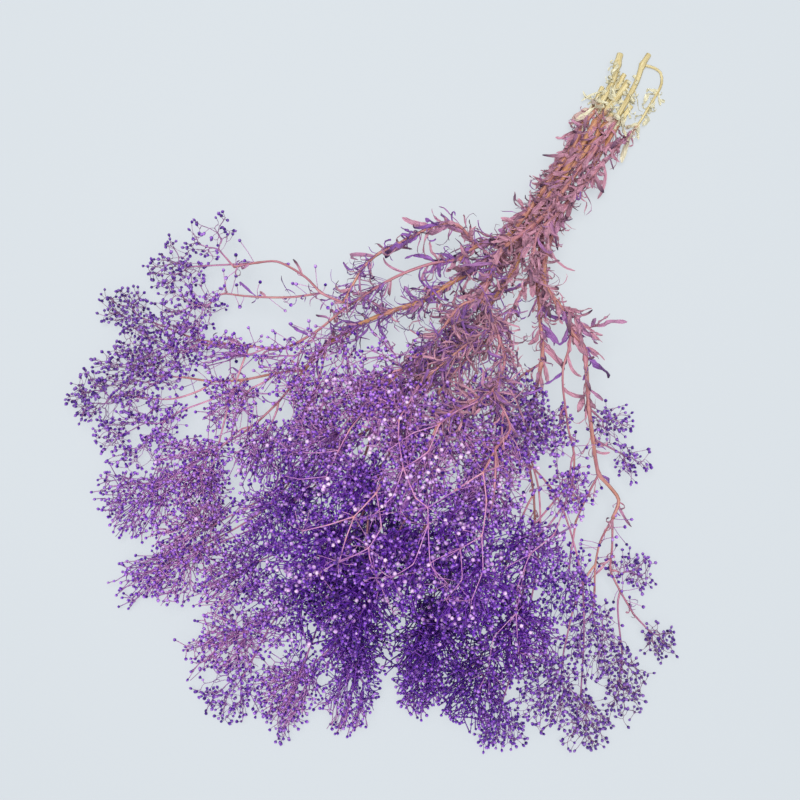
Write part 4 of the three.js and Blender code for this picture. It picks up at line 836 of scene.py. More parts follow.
class Skin:
    """Corners and faces gathered for one mesh, with the layout and the growth of each.

    Every tube, bud or leaf has a cell of its own in a square layout. Growth holds, at each corner,
    a tone of the repeat, the place along it, and two more shares that its finish reads.
    """

    margin: float = 0.05  # left free round a cell
    cap_height: float = 0.09  # of a cell, at either end, for the end of a tube
    cap_reach: Pair = (0.45, 0.4)  # across the cell, and up in cap heights
    grain_shift: float = 400  # millimetres along the grain between the first tone and the last
    steep: float = 0.9  # a way that rises more than this is taken for upright

    def __init__(self, smooth: bool = True) -> None:
        """Starts with nothing gathered, for a mesh shaded smooth or with crisp edges."""
        self.smooth = smooth
        self.corners: list[Array] = []
        self.growth: list[Array] = []
        self.grain: list[Array] = []
        self.faces: list[Faces] = []
        self.corner_count = 0
        self.cell_count = 0

    def gather(
        self, corners: Array, growth: Array, grain: Array, faces: Sequence[Faces], cells: int
    ) -> None:
        """Adds one batch of corners and faces.

        Args:
            corners: The places of the corners.
            growth: Four shares for each corner.
            grain: Where each corner lies in the grain, in millimetres.
            faces: The faces, with as many corners in each batch of them.
            cells: How many cells the batch takes.
        """
        for numbers, layout, cell in faces:
            self.faces.append((numbers + self.corner_count, layout, cell + self.cell_count))
        self.corners.append(corners.reshape(-1, 3))
        self.growth.append(growth.reshape(-1, 4))
        self.grain.append(grain.reshape(-1, 3))
        self.corner_count += len(self.corners[-1])
        self.cell_count += cells

    def tubes(
        self, paths: Array, radii: Array, sides: int, growth: Array,
        cell_stations: int = 0, ridges: float = 0.0, ways: Array | None = None,
    ) -> None:
        """Adds closed tubes that all have the same number of stations.

        Args:
            paths: The stations of each tube, (tubes, stations, 3).
            radii: The radius at each station.
            sides: The corners of a ring.
            growth: Four shares for each station.
            cell_stations: How many stations share a cell; 0 for the whole tube.
            ridges: How far every second corner stands in, as a share of the radius.
            ways: The way that each ring faces, where it isn't that of the path.
        """
        count, stations = radii.shape
        if ways is None:
            ways = np.empty_like(paths)
            ways[:, 1:-1] = paths[:, 2:] - paths[:, :-2]
            ways[:, 0] = paths[:, 1] - paths[:, 0]
            ways[:, -1] = paths[:, -1] - paths[:, -2]
        ways = units(ways)
        side = np.eye(3)[np.argmin(np.abs(paths[:, -1] - paths[:, 0]), axis=1)]
        across = np.empty_like(paths)
        for k in range(stations):
            side = units(side - ways[:, k] * np.sum(side * ways[:, k], axis=1, keepdims=True))
            across[:, k] = side
        upward = np.cross(ways, across)
        angles = np.arange(sides) * 2 * math.pi / sides
        shape = 1 - ridges * (np.arange(sides) % 2)
        cosines, sines = np.cos(angles) * shape, np.sin(angles) * shape
        spokes = across[:, :, None] * cosines[:, None] + upward[:, :, None] * sines[:, None]
        rings = paths[:, :, None] + spokes * radii[:, :, None, None]
        lengths = np.zeros((count, stations))
        lengths[:, 1:] = np.cumsum(np.linalg.norm(np.diff(paths, axis=1), axis=2), axis=1)
        reach = radii[:, :, None]
        along = lengths[:, :, None] + growth[:, :1, :1] * self.grain_shift
        self.hoses(rings, growth, joined(cosines * reach, sines * reach, along), cell_stations)

    def hoses(self, rings: Array, growth: Array, grain: Array, cell_stations: int = 0) -> None:
        """Adds closed skins drawn through rings of corners.

        Args:
            rings: The corners, (skins, stations, sides, 3).
            growth: Four shares for each station.
            grain: Where each corner lies in the grain.
            cell_stations: How many stations share a cell; 0 for the whole skin.
        """
        count, stations, sides, _ = rings.shape
        run = cell_stations or stations - 1
        runs = math.ceil((stations - 1) / run)
        tube = np.arange(count)
        ring = np.arange(stations - 1)[:, None]
        wall = 1 - 2 * self.cap_height
        foot = self.cap_height + wall * (ring % run) / run
        low = (tube[:, None, None] * stations + ring) * sides
        cell = tube[:, None, None] * runs + ring // run
        faces = [ring_walls(low, sides, foot, foot + wall / run, cell)]
        around = np.arange(sides)
        turn = around * 2 * math.pi / sides
        wide, high = self.cap_reach
        for first, middle, order, place in (
            (0, self.cap_height * 0.5, around[::-1], 0),
            ((stations - 1) * sides, 1 - self.cap_height * 0.5, around, runs - 1),
        ):
            cap = joined(0.5 + wide * np.cos(turn), middle + self.cap_height * high * np.sin(turn))
            numbers = (tube * stations * sides)[:, None] + first + order
            layout = np.broadcast_to(cap, (count, sides, 2))
            faces.append((numbers, layout, tube * runs + place))
        shares = np.repeat(growth[:, :, None], sides, axis=2)
        self.gather(rings, shares, grain, faces, count * runs)

    def bodies(
        self, at: Array, ways: Array, lengths: Array, widths: Array,
        profile: Sequence[Pair], sides: int, shares: Array, spin: Array,
    ) -> None:
        """Adds closed round bodies, such as buds, that share one profile.

        Args:
            at: The foot of each body.
            ways: The way that each points.
            lengths: The length of each.
            widths: The greatest radius of each.
            profile: The (place along, share of the radius) of each ring, foot first.
            sides: The corners of a ring.
            shares: Tone and two more shares of each body.
            spin: The turn of each about its own axis.
        """
        count, rings = len(at), len(profile)
        places, girth = np.array(profile).T
        helper = np.where(np.abs(ways[:, 2:]) > self.steep, (1.0, 0.0, 0.0), UP)
        across = units(np.cross(ways, helper))
        above = np.cross(ways, across)
        angles = spin[:, None] + np.arange(sides) * 2 * math.pi / sides
        spokes = across[:, None] * np.cos(angles)[..., None]
        spokes = spokes + above[:, None] * np.sin(angles)[..., None]
        along = at[:, None] + ways[:, None] * (places * lengths[:, None])[..., None]
        corners = along[:, :, None] + spokes[:, None] * (girth * widths[:, None])[..., None, None]
        tips = at + ways * lengths[:, None]
        corners = np.concatenate(
            [corners.reshape(count, -1, 3), at[:, None], tips[:, None]], axis=1
        )
        heights = np.concatenate([np.repeat(places, sides), [0.0, 1.0]])
        growth = joined(shares[:, :1], heights, shares[:, 1:2], shares[:, 2:])
        each = rings * sides + 2
        body = np.arange(count)
        ring = np.arange(rings - 1)[:, None]
        band = 1 / (rings + 1)
        cell = body[:, None, None]
        low = cell * each + ring * sides
        faces = [ring_walls(low, sides, (ring + 1) * band, (ring + 2) * band, cell)]
        k = np.arange(sides)
        here, there = (k, k / sides), ((k + 1) % sides, (k + 1) / sides)
        base = (body * each)[:, None]
        for start, point, edge, end in (
            (0, each - 2, band, 0.0), ((rings - 1) * sides, each - 1, 1 - band, 1.0)
        ):
            (one, u), (two, v) = (here, there) if start else (there, here)
            fan = joined(base + start + one, base + start + two, base + point)
            layout = np.stack(
                [joined(u, edge), joined(v, edge), joined((k + 0.5) / sides, end)], axis=1
            )
            layout = np.tile(layout, (count, 1, 1))
            faces.append((fan.reshape(-1, 3), layout, np.repeat(body, sides)))
        self.gather(corners, growth, corners.copy(), faces, count)

    def make(self, name: str) -> bpy.types.Object:
        """Makes the mesh of what was gathered and links its object.

        Args:
            name: The name of the piece.

        Returns:
            The piece, in metres, in the part's own place.
        """
        corners = np.concatenate(self.corners)
        corners[:, 2] = np.maximum(corners[:, 2], 0)
        mesh = bpy.data.meshes.new(name)
        mesh.vertices.add(len(corners))
        mesh.vertices.foreach_set("co", (corners * MM).astype(np.float32).ravel())
        loops = np.concatenate([numbers.ravel() for numbers, _, _ in self.faces])
        totals = np.concatenate([np.full(len(n), n.shape[1]) for n, _, _ in self.faces])
        mesh.loops.add(len(loops))
        mesh.loops.foreach_set("vertex_index", loops.astype(np.int32))
        mesh.polygons.add(len(totals))
        starts = np.concatenate([[0], np.cumsum(totals)[:-1]]).astype(np.int32)
        mesh.polygons.foreach_set("loop_start", starts)
        mesh.polygons.foreach_set("use_smooth", np.full(len(totals), self.smooth))
        mesh.update(calc_edges=True)
        grid = math.ceil(math.sqrt(self.cell_count))
        inner = 1 - 2 * self.margin
        places = [
            joined(cell % grid, cell // grid)[:, None] + self.margin + layout * inner
            for _, layout, cell in self.faces
        ]
        layer = mesh.uv_layers.new(name=MAP_NAME)
        flat = np.concatenate([place.reshape(-1, 2) for place in places]) / grid
        layer.uv.foreach_set("vector", flat.astype(np.float32).ravel())
        growth = mesh.color_attributes.new("Growth", "FLOAT_COLOR", "POINT")
        growth.data.foreach_set("color", np.concatenate(self.growth).astype(np.float32).ravel())
        grain = mesh.attributes.new("Grain", "FLOAT_VECTOR", "POINT")
        grain.data.foreach_set("vector", np.concatenate(self.grain).astype(np.float32).ravel())
        piece = bpy.data.objects.new(name, mesh)
        bpy.context.scene.collection.objects.link(piece)
        LOG.info("%s: %d triangles", name, (totals - 2).sum())
        return piece


@dataclass(frozen=True)
class Rise:
    """A share that rises over a run of values, which starts at one of them."""

    start: float
    run: float
    most: float = 1

    def __call__(self, value: Array | float) -> Array:
        """The share at values, from 0 up to the most."""
        return np.clip((value - self.start) / self.run, 0, self.most)


@dataclass(frozen=True)
class Zones:
    """How the bunch differs from place to place, in millimetres across the table and up."""

    leafy_left: Rise = Rise(-92, 28)
    leafy_right: Rise = Rise(45, -26)
    leafy_end: Rise = Rise(-24, 44)
    cut_ends: float = 203
    cut_leaves: float = 0.42
    bundle: float = 100
    arch: Pair = (-42, 46)  # limbs to the left of this and above it are barer
    sparse: float = 0.34
    fewest: float = 0.09
    tangle: tuple[float, float, float, float] = (-68, 22, -20, 52)
    middle: float = -5
    sides: Rise = Rise(118, 84)
    foot: Rise = Rise(-205, -50)
    foot_share: float = 0.6
    upper: Rise = Rise(-24, 45)
    upper_right: Rise = Rise(0, 60, 0.6)
    upper_left: Rise = Rise(-120, -30, 0.9)
    # The heart where painted shade is deepest, and how painted light rises with height and towards
    # the bloom's edges.
    heart: Pair = (44, -112)
    heart_reach: Pair = (80, 56)
    heart_edge: Rise = Rise(0.76, 1)
    painted_edge_light: float = 0.8
    top: float = 95
    painted_top_light: float = 0.46

    def leafiness(self, at: Sequence[float]) -> float:
        """How thickly small leaves stand at a place: most where the limbs leave the bundle."""
        x, y = at[0], at[1]
        if y > self.cut_ends:
            return self.cut_leaves
        barer = y > self.bundle or (x < self.arch[0] and y > self.arch[1])
        inner = self.leafy_left(x) * self.leafy_right(x)
        return min(1.0, self.fewest + inner * self.leafy_end(y) * (self.sparse if barer else 1))

    def tangled(self, at: Sequence[float]) -> bool:
        """Whether a place lies where curled leaves fill the room between the limbs."""
        left, right, low, high = self.tangle
        return left < at[0] < right and low < at[1] < high

    def outward(self, places: Array) -> Array:
        """How far out in the bunch places lie, where buds and threads are darker: up to 1."""
        x, y = places[..., 0], places[..., 1]
        head = self.upper(y) * np.maximum(self.upper_right(x), self.upper_left(x))
        foot = self.foot(y) * self.foot_share
        return np.maximum(self.sides(np.abs(x - self.middle)), np.maximum(foot, head))

    def painted_light(self, places: Array) -> Array:
        """Painted light and shade of threads and buds: painted shade low down in the thick of the
        bloom, lighter higher up and out from its heart.
        """
        (x, y), (wide, long) = self.heart, self.heart_reach
        far = np.hypot((places[..., 0] - x) / wide, (places[..., 1] - y) / long)
        raised = self.painted_top_light * places[..., 2] / self.top
        return np.clip(raised + self.painted_edge_light * self.heart_edge(far), 0, 1)


ZONES = Zones()


@dataclass(frozen=True)
class CurlRule:
    """How the fine leaves are cut, folded and curled."""

    thickness: float = 0.28
    tip_thickness: float = 0.35  # as a share of the thickness
    thickening: float = 2  # from the tip, for the whole length
    fold: float = 0.34  # how far the middle lies below the edges, in half widths
    ripple: float = 0.4
    left_ripple: Triple = (17, 40, 0)  # along it, by its tone, to start with
    right_ripple: Triple = (13, 70, 2)
    grain: Pair = (12, 300)  # along it, by its tone
    stations: int = 11
    wide_at: tuple[float, ...] = (0, 0.12, 0.3, 0.55, 0.8, 0.94, 1)
    widths: tuple[float, ...] = (0.45, 0.85, 1, 1, 0.88, 0.66, 0.26)
    wisp_stations: int = 9
    wisp_length: Pair = (9, 25)
    wisp_width: Pair = (0.7, 1.8)
    wisp_turn: Pair = (0.35, 1.0)  # at each station
    wisp_spacing: float = 0.8  # where the leaves stand thickest
    wave: Triple = (0.75, 0.45, 0.33)  # of their number: mean, rise, speed
    wave_start: float = 9
    last_wisp: float = 233
    spring: Pair = (0.4, 1.5)  # least, and how much more it may be
    tilt: float = 2.6
    shortest: float = 0.4
    wisp_floor: float = 0.8
    hair_share: float = 0.42  # of the small leaves, which are as thin as hairs
    hair_stations: int = 7
    hair_length: Pair = (9, 26)
    hair_width: Pair = (0.55, 0.95)
    hair_turn: Pair = (0.3, 0.95)
    tangle_growth: float = 1.65
    tangle_turn: float = 1.25
    pale_growth: float = 1.9
    crumple: float = 0.42
    twist: float = 1.1
    bend: Triple = (0.1, 2.4, 1.5)  # at the root, more at the tip, its power
    sheath_spacing: float = 3.0
    sheath_length: Pair = (10, 26)
    sheath_width: Pair = (1.8, 4.2)
    sheath_turn: Pair = (0.02, 0.17)
    sheath_crumple: float = 0.34
    sheath_zone: Triple = (40, 205, 60)  # start and end, and start on limbs
    sheath_spring: Pair = (0.1, 0.4)
    solid_width: float = 0.78  # of a leaf of the solid
    solid_turn: float = 1.1
    solid_seed: int = 97
    fade: float = 150  # leaves are violet by as much as they lie this far to the left
    most_fade: float = 0.4
    hair_violet: float = 0.12
    tangle_violet: float = 0.08
    tones: Pair = (0.6, 0.85)  # of the bundle and of the rest
    tone_line: float = 80


CURL = CurlRule()


@dataclass
class Leaves:
    """Leaves in the making, as rows.

    A row holds the leaf's spine from the root, the way across it at each station, its greatest
    width, and its shares: tone, how far it is dyed, and how dark its tip is.
    """

    stations: int
    folded: bool
    rows: list[tuple[Array, Array, float, Triple]] = field(default_factory=list)

    def cut(self, skin: Skin) -> None:
        """Makes rippled blades round all the spines, folded or with a plain keel."""
        spines, across, widths, shares = (np.stack(column) for column in zip(*self.rows))
        spines[..., 2] = np.maximum(spines[..., 2], CURL.wisp_floor)
        t = np.linspace(0, 1, self.stations)
        half = np.interp(t, CURL.wide_at, CURL.widths) * widths[:, None] / 2
        ways = units(np.gradient(spines, axis=1))
        across = units(across - ways * np.sum(across * ways, axis=2, keepdims=True))
        normal = np.cross(across, ways)
        tone = shares[:, :1]
        left, right = (
            spines + across * (half * side)[..., None]
            + normal * (half * (np.sin(t * along + tone * shift + start) * CURL.ripple))[..., None]
            for side, (along, shift, start) in ((-1, CURL.left_ripple), (1, CURL.right_ripple))
        )
        body = CURL.thickness * np.minimum(1, CURL.tip_thickness + CURL.thickening * (1 - t))
        depth = half * CURL.fold
        upper = spines - normal * (depth - body / 2)[..., None]
        lower = spines - normal * (depth + body / 2)[..., None]
        rings = np.stack([left, lower, right, *([upper] if self.folded else [])], axis=2)
        grain = np.zeros(rings.shape)
        grain[..., 0, 0] = -half
        grain[..., 2, 0] = half
        grain[..., 2] = (t * CURL.grain[0] + tone * CURL.grain[1])[..., None]
        skin.hoses(rings, joined(tone, t, shares[:, 1:2], shares[:, 2:]), grain)


@dataclass(frozen=True)
class BarkRule:
    """How stalks and limbs are rounded, swollen and coloured along their length."""

    stalk_sides: int = 10
    limb_sides: int = 7
    stalk_round: float = 0.93  # a round stem's radius, as a part of the solid's corner radius
    limb_round: float = 0.87
    spacing: float = 3.0
    swelling: float = 0.4
    swelling_reach: float = 1.7
    fork_swelling: float = 0.24
    dye_line: float = 201  # past this the stems stand undyed, as they were dipped
    dye_blur: float = 5
    pith: float = 0.6  # of the radius
    pith_floor: float = 0.8  # of the pith's radius
    pith_edge: float = 0.04  # how far in the pith starts, in radii
    pith_depth: float = 0.25
    hollow_depth: float = 1.4
    rim: float = 0.93
    rim_height: float = 0.25
    ridges: float = 0.05
    pink: Pair = (0.12, 0.35)  # least, and how much more it may be
    limb_pink: float = 0.3  # more for each limb past the stalk
    most_limb_pink: float = 0.6
    mauve_pink: float = 0.75
    outer_pink: float = 0.8
    cell_stations: int = 7
    seed: int = 7000


BARK = BarkRule()


@dataclass
class LeafyStem:
    """One stem: its stalk, limbs and leaves."""

    plan: StemPlan
    chains: list[Chain]
    owner: int
    bunch: Bunch
    fork_spots: set[int]
    finishes: dict[str, "Finish"]

    def dye(self, y: Array, draw: float) -> Array:
        """How far the stem is dyed at places along the stalks."""
        line = BARK.dye_line + (draw - 0.5) * BARK.dye_blur
        return np.clip((line - y) / BARK.dye_blur, 0, 1)

    def limb(self, skin: Skin, chain: Chain, order: int, draws: Draws) -> None:
        """Adds a limb as one tube, swollen at its joints, with a cut end on a stalk.

        Args:
            skin: What the tube is added to.
            chain: The limb's spots and radii.
            order: Which limb of the stem it is, 0 for the stalk.
            draws: The stem's row of draws.
        """
        stalk = order == 0
        path, marks = smooth_path(chain.places, BARK.spacing)
        radii = np.interp(marks, range(len(chain.radii)), chain.radii)
        radii = radii * (BARK.stalk_round if stalk else BARK.limb_round)
        for i, spot in enumerate(chain.spots):
            jointed = spot.joint and (i > 0 or stalk)
            swelling = BARK.swelling if jointed else BARK.fork_swelling
            if jointed or (id(spot) in self.fork_spots and i > 0):
                far = np.linalg.norm(path - np.array(spot.at), axis=1) / BARK.swelling_reach
                radii = radii * (1 + swelling * np.exp(-far**2))
        ways = np.gradient(path, axis=0)
        if stalk:
            depth = BARK.hollow_depth if chain.plan and chain.plan.hollow else BARK.pith_depth
            start, way, rim = path[0], units(ways[0]), radii[0]
            inner = [start + way * rim * depth, start + way * rim * BARK.pith_edge, start]
            path = np.vstack([inner, path])
            pith = rim * BARK.pith
            radii = np.concatenate([[pith * BARK.pith_floor, pith, rim * BARK.rim], radii])
            ways = np.vstack([[way] * 3, ways])
            path[3] = path[3] + way * BARK.rim_height
        tone = draws()
        pink = BARK.pink[0] + draws() * BARK.pink[1]
        pink += min(BARK.most_limb_pink, order * BARK.limb_pink)
        if self.plan.slot is Slot.MAUVE:
            pink = BARK.mauve_pink
        pink = np.clip(pink + ZONES.outward(path) * BARK.outer_pink, 0, 1)
        growth = joined(tone, pink, self.dye(path[:, 1], draws()), 0.0)
        if stalk:
            growth[:2, 3] = 1
        skin.tubes(
            path[None], radii[None], BARK.stalk_sides if stalk else BARK.limb_sides,
            growth[None], BARK.cell_stations, BARK.ridges, ways[None],
        )

    def blade_clear(self, a: Point, b: Point, radius: float, blades: list[Stretch]) -> bool:
        """Whether a length of leaf stays clear of what isn't its own stem."""
        for other in [*self.bunch.stretches, *blades]:
            own = other.owner == self.owner
            if own and not other.blade:
                continue
            need = radius + other.radius + (BLADE.own_air if own else BEND.air)
            c, d = other.a.at, other.b.at
            apart = any(
                min(a[k], b[k]) > max(c[k], d[k]) + need or max(a[k], b[k]) < min(c[k], d[k]) - need
                for k in range(3)
            )
            if not apart and approach(a, b, c, d)[0] <= need:
                return False
        return True

    def solid_leaves(self, leaves: Leaves, blades: list[Stretch]) -> None:
        """Adds a fine leaf for each leaf of the solid, in its place and with its curl.

        Args:
            leaves: What they are added to.
            blades: The stretches of the leaves laid so far, which grow by these.
        """
        for chain in self.chains:
            rule = chain.plan.leaves if chain.plan else None
            if not rule:
                continue
            draws = Draws(rule.seed)
            for i in range(rule.first, len(chain.spots) - 1, rule.every):
                ends = chain.spots[i].at, chain.spots[i + 1].at
                for pair in range(2 if rule.pairs else 1):
                    for attempt in range(BLADE.tries):
                        swing = BLADE.roll + attempt * BLADE.more_roll
                        roll = (pair + i) * math.pi + (draws() - 0.5) * swing
                        spine, axis, width = self.solid_leaf(ends, roll, rule.length, draws)
                        if self.laid(spine, width / 2 + BLADE.air, blades):
                            own_draws = Draws(rule.seed * CURL.solid_seed + i)
                            self.fine_leaf(leaves, spine, axis, width, own_draws)
                            break

    @staticmethod
    def solid_leaf(
        ends: tuple[Point, Point], roll: float, length: float, draws: Draws
    ) -> tuple[list[Point], Point, float]:
        """Draws one leaf of the solid.

        Args:
            ends: The spots of the limb between which it springs.
            roll: How far round the limb it stands.
            length: The usual length of its limb's leaves.
            draws: The limb's row of draws.

        Returns:
            Its spine, the way across it, and its width.
        """
        here, there = ends
        along = unit(minus(there, here))
        aside = turned(unit(cross(along, UP)), along, roll)
        heading = unit(add(along, aside, draws.between(BLADE.lean)))
        facing = turned(aside, along, draws.between(BLADE.twist))
        axis = unit(cross(heading, facing))
        length *= draws.between(BLADE.length)
        width = draws.between(BLADE.width)
        sign = -1 if draws() < 0.5 else 1
        curl = sign * draws.between(BLADE.curl)
        spine = [mix(here, there, draws.between(BLADE.root))]
        for _ in range(BLADE.widths):
            spine.append(add(spine[-1], heading, length / BLADE.widths))
            heading = turned(heading, axis, curl)
        return spine, axis, width

    def laid(self, spine: Sequence[Point], reach: float, blades: list[Stretch]) -> bool:
        """Whether a leaf has room, and then its stretches are laid with the others."""
        lengths = list(zip(spine, spine[1:]))
        raised = all(place[2] > BLADE.thickness * 2 for place in spine)
        room = raised and all(self.blade_clear(a, b, reach, blades) for a, b in lengths)
        if room:
            blades += [Stretch(self.owner, Spot(a), Spot(b), reach, True) for a, b in lengths]
        return room

    def fine_leaf(
        self, leaves: Leaves, spine: Sequence[Point], axis: Point, width: float, draws: Draws
    ) -> None:
        """Adds one fine leaf on the spine of a leaf of the solid."""
        path, marks = smooth_path(spine, 1.0)
        t = np.linspace(0, marks[-1], CURL.stations)
        fine = np.stack([np.interp(t, marks, path[:, k]) for k in range(3)], axis=-1)
        dyed = float(self.dye(np.array([spine[0][1]]), draws())[0])
        way, turn = units(fine[-1] - fine[0]), CURL.solid_turn
        across = [turned(axis, way, turn * k / CURL.stations) for k in range(CURL.stations)]
        shares = (draws(), dyed, draws())
        leaves.rows.append((fine, np.array(across), width * CURL.solid_width, shares))

    def wisps(self, kinds: dict[str, Leaves], draws: Draws) -> None:
        """Adds the curled leaves that sit in twos along every limb, and sheaths on the stalks."""
        mean, rise, speed = CURL.wave
        start, end, limb_start = CURL.sheath_zone
        for order, chain in enumerate(self.chains):
            path, _ = smooth_path(chain.places, 1.0)
            phase = draws() * CURL.wave_start
            station = draws() * CURL.wisp_spacing
            next_sheath = draws() * CURL.sheath_spacing
            while station < len(path) - 2:
                at = path[int(station)]
                along = unit(path[int(station) + 1] - at)
                station += CURL.wisp_spacing * (0.5 + draws())
                thick = ZONES.leafiness(at) * (mean + rise * math.sin(station * speed + phase))
                side = turned(unit(cross(along, UP)), along, draws() * 2 * math.pi)
                if at[1] < CURL.last_wisp and draws() < thick and not in_window(at):
                    for _ in range((2 if draws() < 0.5 else 1) + ZONES.tangled(at)):
                        self.wisp(kinds, tuple(at), along, side, draws)
                        side = times(side, -1)
                if station > next_sheath and (limb_start if order else start) < at[1] < end:
                    next_sheath = station + CURL.sheath_spacing * (0.5 + draws())
                    self.sheath(kinds["broad"], tuple(at), along, side, draws)

    def wisp(
        self, kinds: dict[str, Leaves], root: Point, along: Point, side: Point, draws: Draws
    ) -> None:
        """Adds one small leaf or hair that curls more and more towards its tip."""
        hair = draws() < CURL.hair_share
        heading = unit(add(along, side, CURL.spring[0] + draws() * CURL.spring[1]))
        axis = unit(turned(cross(heading, side), heading, (draws() - 0.5) * CURL.tilt))
        length = draws.between(CURL.hair_length if hair else CURL.wisp_length)
        turn = draws.between(CURL.hair_turn if hair else CURL.wisp_turn)
        turn *= -1 if draws() < 0.5 else 1
        width = draws.between(CURL.hair_width if hair else CURL.wisp_width)
        if ZONES.tangled(root):
            length *= CURL.tangle_growth
            turn *= CURL.tangle_turn
        if root[1] > BARK.dye_line:
            width *= CURL.pale_growth
        length *= CURL.shortest + (1 - CURL.shortest) * draws()
        leaves = kinds["hair" if hair else "narrow"]
        self.curl(leaves, (root, heading, axis), length, turn, width, CURL.crumple, draws)

    def sheath(self, leaves: Leaves, root: Point, along: Point, side: Point, draws: Draws) -> None:
        """Adds one broad crumpled leaf that lies along its stalk."""
        least, more = CURL.sheath_spring
        heading = unit(add(along, side, least + draws() * more))
        start = (root, heading, unit(cross(heading, side)))
        length = draws.between(CURL.sheath_length)
        turn = draws.between(CURL.sheath_turn) * (-1 if draws() < 0.4 else 1)
        width = draws.between(CURL.sheath_width)
        self.curl(leaves, start, length, turn, width, CURL.sheath_crumple, draws)

    def curl(
        self, leaves: Leaves, start: tuple[Point, Point, Point], length: float,
        turn: float, width: float, crumple: float, draws: Draws,
    ) -> None:
        """Adds a leaf that turns more and more, twists and crumples as it goes.

        Args:
            leaves: What it is added to.
            start: Where it springs from its limb, the way it sets out, and the way across it.
            length: Its length.
            turn: How far it turns at a station halfway along.
            width: Its greatest width.
            crumple: How far it may be thrown off its curl at each station.
            draws: The stem's row of draws.
        """
        root, heading, axis = start
        step = length / (leaves.stations - 1)
        twist = (draws() - 0.5) * CURL.twist
        least, more, power = CURL.bend
        spine, across = [root], [axis]
        for k in range(leaves.stations - 1):
            spine.append(add(spine[-1], heading, step))
            thrown = (draws() - 0.5) * 2 * crumple
            bend = turn * (least + more * (k / leaves.stations) ** power)
            heading = turned(heading, axis, bend + thrown)
            lean = unit(cross(heading, axis))
            heading = unit(turned(heading, lean, (draws() - 0.5) * crumple))
            axis = unit(turned(axis, heading, twist + (draws() - 0.5) * crumple))
            across.append(axis)
        dyed = float(self.dye(np.array([root[1]]), draws())[0])
        violet = min(CURL.most_fade, max(0, -root[0] / CURL.fade))
        violet += CURL.hair_violet if width < 1 else 0
        tone = draws() * CURL.tones[0 if root[1] > CURL.tone_line else 1]
        tone = min(1, tone + violet + CURL.tangle_violet * ZONES.tangled(root))
        shares = (tone, dyed, draws() * dyed)
        leaves.rows.append((np.array(spine), np.array(across), width, shares))

    def build(self, blades: list[Stretch]) -> None:
        """Makes the stem's two pieces and dresses them.

        Args:
            blades: The stretches of the leaves laid so far, which grow by this stem's.
        """
        bark, foliage = Skin(), Skin(smooth=False)
        kinds = {
            "broad": Leaves(CURL.stations, True),
            "narrow": Leaves(CURL.wisp_stations, False),
            "hair": Leaves(CURL.hair_stations, False),
        }
        draws = Draws(BARK.seed + self.owner)
        for order, chain in enumerate(self.chains):
            self.limb(bark, chain, order, draws)
        self.solid_leaves(kinds["broad"], blades)
        self.wisps(kinds, draws)
        for leaves in kinds.values():
            leaves.cut(foliage)
        for skin, part in ((bark, "stalks"), (foliage, "leaves")):
            piece = skin.make(f"{self.plan.name}_{part}")
            dress(piece, self.plan.name, self.finishes[part])


@dataclass(frozen=True)
class SprayRule:
    """How a spray forks and where its buds stand."""

    taper: float = 0.45
    tries: int = 14
    more_tries: int = 6  # drawn for each that is kept within the spray's outline
    patience: int = 4  # places tried for each bud
    remembered: int = 900  # clusters that the next ones keep clear of
    crowd: float = 2.0  # least room between the middles of two buds
    cluster: float = 7.5  # buds in a cluster
    cluster_width: float = 3.1
    loose_cluster: float = 5.5
    loose_width: float = 2.2
    full: float = 0.8  # clusters stand as thick as can be out to here, as a part of the reach
    outer: float = 1.14
    ceiling: float = 108
    floor: float = 1.25
    grades: tuple[int, int] = (4, 9)  # the fewest buds of a middling and of a large twig
    shares: tuple[float, ...] = (0.6, 0.74, 0.46, 0.33)  # way to its buds, by grade, and at first
    wander: float = 0.12
    jitter: float = 0.07
    straight: float = 1.1  # how far a twig bends towards its end
    follow: float = 0.7  # and goes on the way of the one that bears it
    thinning: float = 0.92
    forks_in_three: float = 0.4  # of the twigs that bear more than a few buds
    few: int = 5
    lowest: float = 0.6  # of the floor, for forks
    thread: float = 0.15
    mass_thread: float = 0.26
    deep_thread: float = 0.34
    painted_deep_shade: float = 0.36  # sprays whose painted light is below this lie in the painted deep shade of the heart and have its thicker threads
    fullness: float = 1.3  # buds, in those of its plan
    bare: float = 0.05  # threads that have lost their buds, for each bud
    bare_spread: float = 1.5
    bare_bend: float = 1.4
    bare_radii: Pair = (1.1, 0.7)  # in those of a thread
    shortest: float = 1.6
    short_turn: float = 0.5
    thread_follow: float = 0.6
    thread_jitter: float = 0.05
    power: float = 0.42
    arm_round: float = 0.74
    arm_sides: int = 6
    arm_spacing: float = 3.0
    knot: float = 1.3
    edge: float = 0.12  # sprays further out than this are loose
    thick: Rise = Rise(0.2, 0.6)
    seed: int = 4000
    side_seed: int = 500
    high: Rise = Rise(28, 60)
    waves: tuple[Pair, ...] = ((0.11, -0.06), (0.07, 0.13), (0.05, 0.04))
    pale_power: float = 2.4
    pale_height: Pair = (0.3, 0.75)  # below, and how much more high up
    pale_group: Pair = (0.75, 0.7)
    pale_ball: float = 0.45  # buds paler than this are large and round
    dusk_spread: float = 0.12
    tone: Triple = (0.6, 0.5, 0.08)  # by a draw, by the painted light, less this
    bud_sides: int = 5


SPRAY = SprayRule()


@dataclass(frozen=True)
class BudShape:
    """A bud: its rings as (place along, share of the radius), its lengths and its radii."""

    profile: tuple[Pair, ...]
    length: Pair
    radius: Pair


class BudKind(Enum):
    """The kinds of bud."""

    SMALL = BudShape(((0.26, 0.88), (0.7, 0.92)), (1.9, 2.7), (0.84, 1.2))
    BALL = BudShape(((0.18, 0.76), (0.54, 1.0), (0.86, 0.66)), (2.3, 2.9), (1.15, 1.45))
    LONG = BudShape(((0.3, 0.8), (0.66, 0.95)), (2.2, 3.2), (0.88, 1.28))


def in_window(place: Sequence[float]) -> bool:
    """Whether a place would be seen in a gap of the bloom."""
    x, y = SIGHT.sighted(place)
    return any(window.holds(x, y) for window in WINDOWS)


